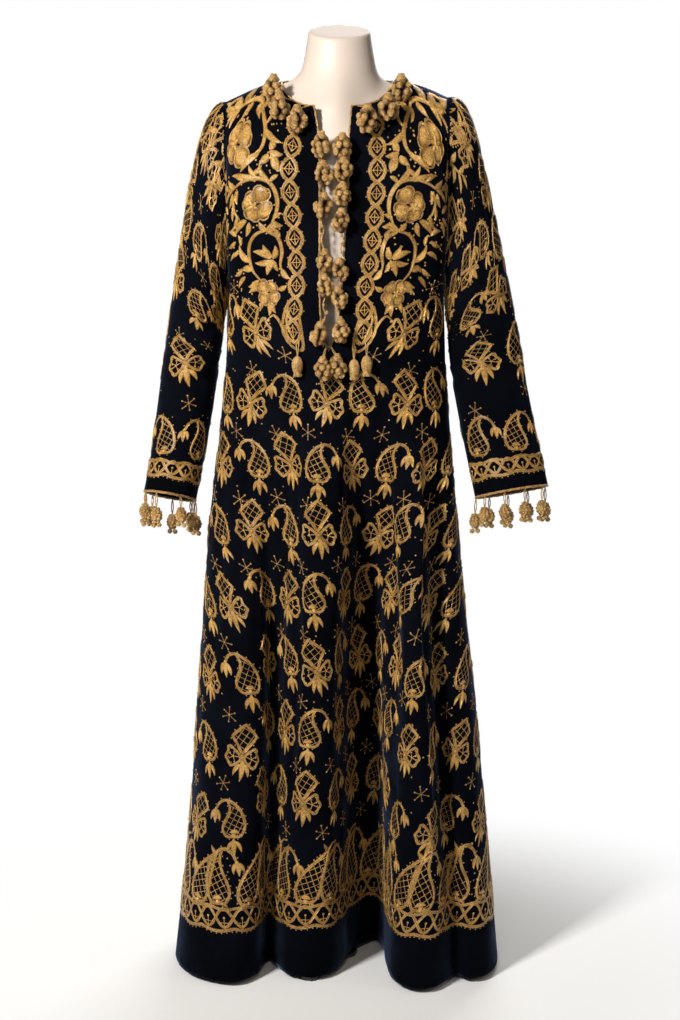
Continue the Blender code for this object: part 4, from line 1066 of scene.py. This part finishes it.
def draw_sleeve(pen, side, left, right, draws):
    """All the thread work of a sleeve; the cuff's rim is at 0."""
    for across, up, turn in SLEEVE_SPRAYS:
        pen.at(across, up, turn, 0.95, side)
        draw_spray(pen)
    for across, up, turn in SLEEVE_BOWS[side]:
        pen.at(across, up, turn, 0.92, stretch=SLEEVE_STRETCH)
        draw_bow(pen)
    for across, up, hook in SLEEVE_PAISLEYS[side]:
        pen.at(across, up - 20, 6.0 * hook, 0.90, hook, SLEEVE_STRETCH)
        draw_paisley(pen)
    for across, up in SLEEVE_STARS[side]:
        pen.at(across, up, draws.uniform(0, 40), 0.92)
        draw_star(pen)
    for across in np.linspace(left + 36, right - 28, 5):
        pen.at(across, 62, -8.0, 0.88)
        draw_paisley(pen, 1.05, False, 24.0)
    pen.at(0, 0)
    draw_border(pen, left + 2, right - 2, 25.0, 27.0, 46.0, 0.8)
    for _ in range(SLEEVE_DOTS):
        pen.dome(draws.uniform(left, right), draws.uniform(120, 590), 1.3, 0.9, 6)


# How fine the finishes are: noises to the metre, and the turn of a thread in radians a
# millimetre
PILE_SCALE = 1500.0
NAP_SCALE = 26.0
SHEEN_SCALE = 9.0
KNOT_AND_GLINT_SCALE = 430.0
CLOUD_SCALE = 60.0
TWIST = 4.2
# Sizes of the trims, in metres
FINE_CORD = 0.0009
NECK_STRAND = 0.0010
CUFF_STRAND = 0.0011
CUFF_TASSELS = 9
TASSEL_RADIUS = 0.0105
CLUSTER_CLEAR = 0.003


def fill(tree, node, inputs):
    """Set a node's inputs, each to a number, a colour or another node's output."""
    for name, value in inputs.items():
        if isinstance(value, bpy.types.NodeSocket):
            tree.links.new(value, node.inputs[name])
        else:
            node.inputs[name].default_value = value


def add_node(tree, kind, inputs, operation=None):
    """A new node with its inputs; gives its outputs."""
    node = tree.nodes.new("ShaderNode" + kind)
    if operation:
        node.operation = operation
    fill(tree, node, inputs)
    return node.outputs


class Finish:
    """A material in the making."""

    def __init__(self, name):
        self.made = bpy.data.materials.new(name)
        self.made.use_nodes = True
        self.tree = self.made.node_tree
        self.where = add_node(self.tree, "TexCoord", {})

    def noise(self, scale, detail=3.0, rough=0.55):
        """A noise over the object."""
        return add_node(self.tree, "TexNoise", {"Vector": self.where["Object"], "Scale": scale,
                                                "Detail": detail, "Roughness": rough})["Fac"]

    def math(self, kind, *values):
        """The result of one sum, product or comparison of values."""
        return add_node(self.tree, "Math", dict(enumerate(values)), kind)["Value"]

    def product(self, first, second):
        """Two colours multiplied."""
        return add_node(self.tree, "VectorMath", {0: first, 1: second}, "MULTIPLY")["Vector"]

    def ramp(self, source, stops):
        """A colour ramp fed by a value."""
        node = self.tree.nodes.new("ShaderNodeValToRGB")
        elements = node.color_ramp.elements
        elements[0].position, elements[1].position = stops[0][0], stops[-1][0]
        for place, _ in stops[1:-1]:
            elements.new(place)
        for element, (_, colour) in zip(elements, stops):
            element.color = (*colour, 1.0)
        fill(self.tree, node, {"Fac": source})
        return node.outputs["Color"]

    def done(self, height, strength, distance, inputs):
        """The material, with its main shader's inputs and a bump from a height."""
        relief = add_node(self.tree, "Bump", {"Height": height, "Strength": strength,
                                              "Distance": distance})
        fill(self.tree, self.tree.nodes["Principled BSDF"],
             {**inputs, "Normal": relief["Normal"]})
        return self.made


def velvet_material():
    """Near-black navy pile that catches light at its folds."""
    make = Finish("navy_velvet_pile")
    cloud = make.noise(SHEEN_SCALE, 4.0)
    nap = make.math("MULTIPLY", make.math("ADD", cloud, make.noise(NAP_SCALE, 3.0, 0.6)), 0.5)
    return make.done(make.noise(PILE_SCALE, 2.0), 0.35, 0.0004, {
        "Base Color": make.ramp(cloud, ((0.30, (0.0008, 0.0009, 0.0014)),
                                        (0.70, (0.0018, 0.0024, 0.0046)))),
        "Roughness": 0.95, "Specular IOR Level": 0.02, "Sheen Roughness": 0.34,
        "Sheen Weight": make.ramp(nap, ((0.36, (0.02, 0.02, 0.02)), (0.64, (0.95, 0.95, 0.95)))),
        "Sheen Tint": (0.075, 0.105, 0.205, 1.0)})


def thread_material(name, dark, light, metallic, ply, deep, parting_shade=1.0):
    """Twisted metal thread; the bands follow the drawn line, in millimetres."""
    make = Finish(name)
    part = add_node(make.tree, "SeparateXYZ", {"Vector": make.where["UV"]})
    strand = make.math("SINE", make.math("MULTIPLY", part["Y"], 2 * pi / ply))
    both = make.math("ADD", part["X"], part["Y"])
    twist = make.math("SINE", make.math("MULTIPLY", both, TWIST))
    # The noise spreads the colour from dark brown to the gold; its near-white brightest stop is
    # painted glint
    glints_and_knots = make.noise(KNOT_AND_GLINT_SCALE, 3.0, 0.7)
    faint = make.math("MULTIPLY_ADD", make.noise(CLOUD_SCALE, 4.0, 0.65), 0.7, 0.15)
    total = make.math("ADD", make.math("MULTIPLY_ADD", glints_and_knots, 1.10, -0.55), faint)
    # Faint painted shade in the valleys between strands
    total = make.math("MULTIPLY_ADD", strand, 0.09, total)
    middle = tuple(a * 0.45 + b * 0.55 for a, b in zip(dark, light))
    painted_glint = tuple(0.5 * (value + 1.0) for value in light)
    colour = make.ramp(total, ((0.24, dark), (0.45, middle), (0.64, light), (0.84, painted_glint)))
    # Painted shade from the rim attribute: darker band and knot edges, petal hearts and crevices
    # between balls
    edge = make.tree.nodes.new("ShaderNodeAttribute")
    edge.attribute_name = "rim"
    colour = make.product(colour, make.ramp(edge.outputs["Fac"], (
        (0.0, (1.0, 1.0, 1.0)), (0.50, (0.86, 0.83, 0.78)), (0.82, (0.40, 0.33, 0.25)),
        (1.0, (0.13, 0.09, 0.055)))))
    # Painted shade along the parting down the middle of each band
    colour = make.product(colour, make.ramp(make.math("ABSOLUTE", part["Y"]), (
        (0.20, (parting_shade, parting_shade * 0.9, parting_shade * 0.75)), (0.85, (1.0, 1.0, 1.0)))))
    relief = make.math("MULTIPLY_ADD", twist, 0.35, strand)
    relief = make.math("ADD", relief, make.math("MULTIPLY", glints_and_knots, 2.2))
    return make.done(relief, 0.75, deep, {
        "Base Color": colour, "Metallic": metallic, "Roughness": 0.36, "Coat Weight": 0.30,
        "Coat Roughness": 0.36})


def plain_material(name, colour, other, rough, scale, metallic=0.0, strength=0.05):
    """A smooth finish with a faint mottle."""
    make = Finish(name)
    cloud = make.noise(scale, 4.0)
    return make.done(cloud, strength, 0.0005, {
        "Base Color": make.ramp(cloud, ((0.3, colour), (0.7, other))), "Roughness": rough,
        "Metallic": metallic})


class Trim(Work):
    """Cords, knotted balls and drops in space, in metres."""

    SHADE = 0.25

    def painted_shade(self, first, centre, radius):
        """Darken with painted shade what lies deep between the balls added since a patch number."""
        for part in self.parts[first:]:
            far = np.linalg.norm((part[0] - centre) * (1.0, 1.0, 0.55), axis=1)
            part[3] = np.clip(1.0 - (far / radius - 0.62) / 0.34, 0.0, 1.0)

    def tube(self, path, radius, sides=6, closed=False, out=(0.31, -0.93, 0.17)):
        """A round cord along a path."""
        path = np.asarray(path, float)
        run = unit(around(path) if closed else np.gradient(path, axis=0))
        side = unit(np.cross(run, out))
        turn = ring_turns(sides)
        ring = (side[:, None] * np.cos(turn)[:, None]
                + np.cross(run, side)[:, None] * np.sin(turn)[:, None])
        self.add(path[:, None] + ring * radius,
                 stack(lengths(path)[:, None] * 1000, turn * radius * 1000), self.SHADE, closed,
                 True)

    def ball(self, centre, radius, sides=10, rings=7, squash=1.0, wind=0.0):
        """A wound knotted ball."""
        part = np.linspace(0.03, 0.97, rings)[:, None] * pi
        turn = ring_turns(sides) + wind
        wide = radius * np.sin(part) * (1 + 0.07 * np.sin(3 * turn + 5 * part + wind * 7))
        grid = centre + stack(wide * np.cos(turn), wide * np.sin(turn),
                              radius * squash * np.cos(part))
        self.add(grid, stack(turn, part) * radius * 1000, self.SHADE, False, True)

    def turned(self, centre, rings, sides=14, ribs=0, deep=0.0):
        """A hanging shape from rings of drop and radius."""
        drop, wide = np.array(rings).T[..., None]
        turn = ring_turns(sides)
        wide = wide * (1 + deep * np.cos(ribs * turn) * np.sin(drop * 900))
        grid = centre + stack(wide * np.cos(turn), wide * np.sin(turn), -drop)
        self.add(grid, stack(turn * 8, drop * 1000), self.SHADE, False, True)

    def twisted(self, path, out, look, strands, pitch, wide, radius, off=0.0):
        """A closed cord of strands wound round a path, set off from it to one side."""
        for strand in range(strands):
            angle = (lengths(path) / pitch + 2 * pi * strand / strands)[:, None]
            line = path + out * (off + np.cos(angle) * wide[0]) + look * np.sin(angle) * wide[1]
            self.tube(line, radius, 6, True, look)

    def piece(self, name, dress):
        """All of it as one mesh."""
        points, quads, uvs, shade_and_vein_marks = self.gathered()
        return new_mesh(name, points, [quads], dress, uvs, shade_and_vein_marks)


CAP = ((0.0, 0.10), (0.08, 0.34), (0.25, 0.42), (0.45, 0.50), (0.70, 0.66), (0.95, 0.62),
       (1.05, 0.30))


def cluster(trim, centre, radius, draws):
    """A grape-like tassel: a crocheted cap over small knotted balls of uneven size."""
    lean = draws.uniform(-0.16, 0.16)
    trim.turned(centre + (0.0, 0.0, radius * 1.75), np.array(CAP) * radius, 14, 7, 0.12)
    first = len(trim.parts)
    for high, wide, count in ((0.70, 0.50, 3), (0.16, 0.84, 5), (-0.46, 0.78, 5), (-1.02, 0.42, 3)):
        spin = draws.uniform(0, 6.3)
        for step in range(count):
            x, y = way(spin + (step + draws.uniform(-0.18, 0.18)) * 2 * pi / count, wide)
            place = np.array([x + lean * (0.6 - high), y * 0.85, high + draws.uniform(-0.14, 0.14)])
            trim.ball(centre + radius * place, radius * draws.uniform(0.40, 0.50), 11, 7,
                      draws.uniform(0.9, 1.15), spin)
    # Painted shade deep between the balls
    trim.painted_shade(first, centre, radius * 1.28)


DROP = ((0.0, 0.20), (0.15, 0.45), (0.35, 0.62), (0.75, 0.78), (1.25, 1.0), (1.7, 0.95),
        (2.1, 0.62), (2.3, 0.25))


def drop_tassel(trim, top, radius, long, draws):
    """A wound drop on a doubled cord, with a pair of small balls below it."""
    head = top + (*draws.uniform(-0.0010, 0.0010, 2), -long)
    for side in (-1, 1):
        trim.tube(between(top, head, 7, (side * 0.0016, 0.0, 0.0)), FINE_CORD)
    first = len(trim.parts)
    for high, wide, count in ((0.35, 0.34, 5), (0.80, 0.56, 7), (1.25, 0.70, 8), (1.70, 0.60, 7),
                              (2.10, 0.34, 5)):
        spin = draws.uniform(0, 6.3)
        for step in range(count):
            place = np.array([*way(spin + step * 2 * pi / count, wide), -high])
            trim.ball(head + radius * place, radius * draws.uniform(0.27, 0.34), 7, 5, 1.0, spin)
    # Painted shade deep between the balls
    trim.painted_shade(first, head - (0, 0, radius * 1.25), radius * 0.98)
    trim.turned(head, np.array(DROP) * (radius, radius * 0.80), 12)
    low = head - (0.0, 0.0, 2.3 * radius)
    for side in (-1, 1):
        place = low + (side * radius * 0.42, draws.uniform(-0.002, 0.002),
                       -radius * draws.uniform(0.35, 0.55))
        trim.tube([low + (0, 0, 0.001), place], 0.0008, 5)
        trim.ball(place, radius * 0.40)


def surface_depth(grids, across, height):
    """How far forward the front stands near a place seen from the front."""
    points = np.concatenate([grids[side, -1].reshape(-1, 3) for side in (-1, 1)])
    return points[np.argmin((points[:, 0] - across) ** 2 + (points[:, 2] - height) ** 2), 1]


def neckline(shares, grids, normals):
    """The line down the opening's edges and round the neck, with its outward way."""
    top = grids[-1, -1].shape[0] - 1
    rise = np.arange(SKIRT_ROWS, top)
    rim = np.arange(np.argmin(np.abs(shares - NECK_POINT_SHARE)) + 1)
    parts = []
    for side, face, rows, columns in (
        (-1, -1, rise, 0), (-1, -1, top, rim), (-1, 1, top, rim[-2::-1]), (1, 1, top, rim[1:-1]),
        (1, -1, top, rim[::-1]), (1, -1, rise[::-1], 0),
    ):
        grid = grids[side, face]
        inner = grid[rows, 1] if np.ndim(rows) else grid[rows - 1, columns]
        parts.append((grid[rows, columns], inner, normals[side, face][rows, columns]))
    edge, inner, look = (np.concatenate(part) for part in zip(*parts))
    run = unit(around(edge))
    out = edge - inner
    return edge, unit(out - run * (out * run).sum(axis=1, keepdims=True)), look


# The cloth
velvet = velvet_material()
gold = thread_material("gold_couching", (0.21, 0.082, 0.009), (0.98, 0.60, 0.155), 0.45, 1.1,
                       0.0007, 0.34)
cord_gold = thread_material("gold_cord", (0.20, 0.092, 0.018), (0.86, 0.53, 0.175), 0.30, 1.3,
                            0.0011)
shares, grids, normals, sleeves = build_grids()
cloth = {}
for face, name, joined in ((-1, "front_cloth", SKIRT_ROWS - 1), (1, "back_cloth", 10**6)):
    cloth[name] = cloth_shell(name, *join_panel(grids, normals, face, joined), velvet)
for side, name, (grid, normal) in zip((-1, 1), ("sleeve_left_cloth", "sleeve_right_cloth"),
                                      sleeves):
    number = np.arange(grid[..., 0].size).reshape(grid.shape[:2])
    quads = quads_of(np.concatenate([number, number[:, :1]], axis=1))[:, ::-side]
    cloth[name] = cloth_shell(name, grid.reshape(-1, 3), normal.reshape(-1, 3), quads, velvet)

# The thread work on it
draws = np.random.default_rng(7)
work = {}
for face, name, left, right in ((-1, "front", -550.0, 690.0), (1, "back", -620.0, 620.0)):
    pen = Pen()
    draw_panel(pen, face, left, right, draws)
    work[name] = pen.piece(name + "_embroidery", PanelChart(grids, normals, face), gold)
for side, name, sheets in zip((-1, 1), ("sleeve_left", "sleeve_right"), sleeves):
    grid, normal = (np.concatenate([part, part[:, :1]], axis=1)[::-1] for part in sheets)
    pen = Pen()
    draw_sleeve(pen, side, -84.0, 242.0, draws)
    work[name] = pen.piece(name + "_embroidery", Chart(grid, normal, grid.shape[1] * 0.25), gold)

# The neck cord and its tassels
edge, out, look = neckline(shares, grids, normals)
trim = Trim()
trim.twisted(edge, out, look, 2, 0.0045, (0.0007, 0.0007), NECK_STRAND, CORD_RADIUS * 0.6)
for sizes in NECK_CLUSTERS:
    across, height, reach = np.array(sizes) / 1000
    depth = min(surface_depth(grids, across, height + step) for step in (-0.012, 0.0, 0.012))
    centre = np.array([across, depth - reach - CLUSTER_CLEAR, height + 0.002])
    nearest = edge[np.argmin(np.linalg.norm(edge - centre - (0, 0, 0.02), axis=1))]
    for aside in (-0.0012, 0.0012):
        path = between(nearest, centre + (0, 0, reach * 1.3), 7, (aside, -0.004, 0.0))
        trim.tube(path, FINE_CORD)
    cluster(trim, centre, reach * 1.08, draws)
for across, top, low in ((-0.0225, 1.350, 1.176), (0.0085, 1.348, 1.160), (-0.0200, 1.150, 1.030),
                         (0.0030, 1.140, 1.035)):
    heights = np.arange(low, top, 0.006)
    depth = min(surface_depth(grids, across + step, (low + top) / 2) for step in (-0.02, 0.02))
    path = stack(across + 0.0022 * np.sin(heights * 210 + across * 900), depth - 0.006, heights)
    trim.tube(path, NECK_STRAND)
    for place in path[1::2]:
        aside = draws.uniform(-0.0035, 0.0035, 2) * (1, 0.4)
        trim.ball(place + (*aside, 0.0), draws.uniform(0.0020, 0.0034), 8, 5)
neck = trim.piece("neck_trim", cord_gold)

# The tassels at the ends of the chains
trim = Trim()
for across, height in ((-0.062, 1.000), (0.047, 1.001), (0.027, 0.995)):
    depth = min(surface_depth(grids, across, height + step) for step in (-0.014, 0.0, 0.03))
    centre = np.array([across, depth - 0.0085, height])
    for aside in (-0.0022, 0.0022):
        path = between(centre + (aside, 0.004, 0.036), centre + (0, 0, 0.012), 6)
        trim.tube(path, FINE_CORD)
    trim.turned(centre + (0, 0, 0.016), ((0.0, 0.002), (0.004, 0.0065), (0.012, 0.0088),
                                         (0.020, 0.0082), (0.027, 0.0060), (0.029, 0.002)),
                16, 6, 0.14)
    for turn in ring_turns(5):
        trim.ball(centre + (*way(turn, 0.0042), -0.014), 0.0034)
chains = trim.piece("chain_tassels", cord_gold)

# The cuff braids and their tassels
fringes = []
for name, (grid, normal) in zip(("cuff_left_fringe", "cuff_right_fringe"), sleeves):
    down = unit(grid[-1] - grid[-2])
    path = grid[-1] - normal[-1] * CLOTH / 2 + down * BRAID_RADIUS * 0.8
    trim = Trim()
    trim.twisted(path, down, normal[-1], 3, 0.0060, (0.0012, 0.0011), CUFF_STRAND)
    middle = path.mean(axis=0)
    for step in range(CUFF_TASSELS):
        aim = way(2 * pi * (step + 0.3) / CUFF_TASSELS)
        place = np.argmax(unit(path[:, :2] - middle[:2]) @ aim)
        drop_tassel(trim, path[place] - (0, 0, 0.002), TASSEL_RADIUS,
                    0.016 + draws.uniform(0, 0.008), draws)
    fringes.append(trim.piece(name, cord_gold))

# The kept form and stand
cream = plain_material("form_cream_matt", (0.43, 0.355, 0.300), (0.45, 0.378, 0.320), 0.5, 14.0)
steel = plain_material("stand_dark_steel", (0.035, 0.035, 0.038), (0.06, 0.06, 0.064), 0.4, 30.0,
                       0.8)
for name, dress in (("dress_form", cream), ("stand_pole", steel), ("stand_foot", steel)):
    materials = bpy.data.objects[name].data.materials
    materials.clear()
    materials.append(dress)
# The form's own outline again, welded and rounded, so that it looks as smooth as it is
solid = bpy.data.objects["dress_form"]
welded = bmesh.new()
welded.from_mesh(solid.data)
bmesh.ops.transform(welded, matrix=solid.matrix_world, verts=welded.verts)
bmesh.ops.remove_doubles(welded, verts=welded.verts, dist=0.00002)
bmesh.ops.join_triangles(welded, faces=welded.faces, angle_face_threshold=0.9,
                         angle_shape_threshold=1.2)
rough = bpy.data.meshes.new("rough_form")
welded.to_mesh(rough)
welded.free()
form = new_object("form", rough)
finer = form.modifiers.new("finer", "SUBSURF")
finer.levels = finer.render_levels = 2
form.data = bpy.data.meshes.new_from_object(
    form.evaluated_get(bpy.context.evaluated_depsgraph_get()))
form.modifiers.clear()
form.data.polygons.foreach_set("use_smooth", np.ones(len(form.data.polygons), bool))
form.data.materials.clear()
form.data.materials.append(cream)

# Each piece joins the root body of the shared frame and hides the solid parts it stands in for
for body, slot, *nodes in (
    (cloth["front_cloth"], "velvet", "front"), (cloth["back_cloth"], "velvet", "back"),
    (cloth["sleeve_left_cloth"], "velvet", "sleeve_left"),
    (cloth["sleeve_right_cloth"], "velvet", "sleeve_right"),
    (work["front"], "gold_thread"), (work["back"], "gold_thread"),
    (work["sleeve_left"], "gold_thread"), (work["sleeve_right"], "gold_thread"),
    (form, "form_cream", "dress_form"), (neck, "gold_thread", "neck_cord"),
    (chains, "gold_thread", "chain_tassel_left", "chain_tassel_right", "chain_tassel_inner"),
    (fringes[0], "gold_thread", "cuff_trim_left"), (fringes[1], "gold_thread", "cuff_trim_right"),
):
    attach(body, "root")
    if nodes:
        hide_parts(*nodes)

# Floor, light and camera; the floor fades into the bright ground away from the dress
bpy.ops.mesh.primitive_plane_add(size=12, location=(0, 0, 0))
floor = bpy.context.object
floor.name = "floor"
floor.data.materials.append(
    plain_material("pale_floor", (0.90, 0.90, 0.90), (0.92, 0.92, 0.92), 0.8, 2.0, 0.0, 0.0))
tree = floor.data.materials[0].node_tree
where = add_node(tree, "TexCoord", {})["Object"]
reach = tree.nodes.new("ShaderNodeMapRange")
reach.interpolation_type = "SMOOTHSTEP"
fill(tree, reach, {"Value": add_node(tree, "VectorMath", {0: where}, "LENGTH")["Value"],
                   "From Min": 0.30, "From Max": 0.95})
both = add_node(tree, "Math", {0: reach.outputs["Result"],
                               1: add_node(tree, "LightPath", {})["Is Camera Ray"]}, "MULTIPLY")
blend = add_node(tree, "MixShader", {
    "Fac": both["Value"], 1: tree.nodes["Principled BSDF"].outputs["BSDF"],
    2: add_node(tree, "Emission", {})["Emission"]})
fill(tree, tree.nodes["Material Output"], {"Surface": blend["Shader"]})
world = bpy.data.worlds.new("studio")
bpy.context.scene.world = world
world.use_nodes = True
tree = world.node_tree
sky = tree.nodes["Background"]
fill(tree, sky, {"Color": (1.0, 0.95, 0.87, 1.0), "Strength": 0.17})
blend = add_node(tree, "MixShader", {
    "Fac": add_node(tree, "LightPath", {})["Is Camera Ray"], 1: sky.outputs["Background"],
    2: add_node(tree, "Background", {"Color": (1.0, 1.0, 1.0, 1.0)})["Background"]})
fill(tree, tree.nodes["World Output"], {"Surface": blend["Shader"]})


def aim(body, place, target):
    """Put a light or the camera in its place and turn it to what it looks at."""
    body.location = place
    body.rotation_euler = (Vector(target) - Vector(place)).to_track_quat("-Z", "Y").to_euler()


# Soft square lights: place, target, size, power, colour and spread of the beam in degrees
for name, place, target, size, power, colour, spread in (
    ("key", (-1.8, -2.6, 2.4), (-0.5, 0, 1.25), 0.5, 36.0, (1.0, 0.98, 0.95), 66.0),
    ("front", (-0.3, -3.2, 2.2), (0, 0, 0.7), 0.8, 16.0, (1.0, 0.95, 0.88), 180.0),
    ("fill", (2.6, -1.3, 1.8), (0, 0, 0.8), 1.2, 7.0, (1.0, 0.94, 0.86), 180.0),
    ("rim", (0.6, 2.4, 2.6), (0, 0, 1.0), 1.6, 50.0, (1.0, 1.0, 1.0), 180.0),
):
    lamp = bpy.data.lights.new(name, "AREA")
    lamp.size, lamp.energy, lamp.color, lamp.spread = size, power, colour, radians(spread)
    aim(new_object(name, lamp), place, target)

camera = bpy.data.cameras.new("camera")
camera.lens = 68.93
camera.sensor_width = 36.0
view = new_object("camera", camera)
aim(view, (0.005, -3.2, 1.15), (0.005, 0, 0.757))
bpy.context.scene.camera = view
bpy.context.scene.view_settings.view_transform = "Standard"
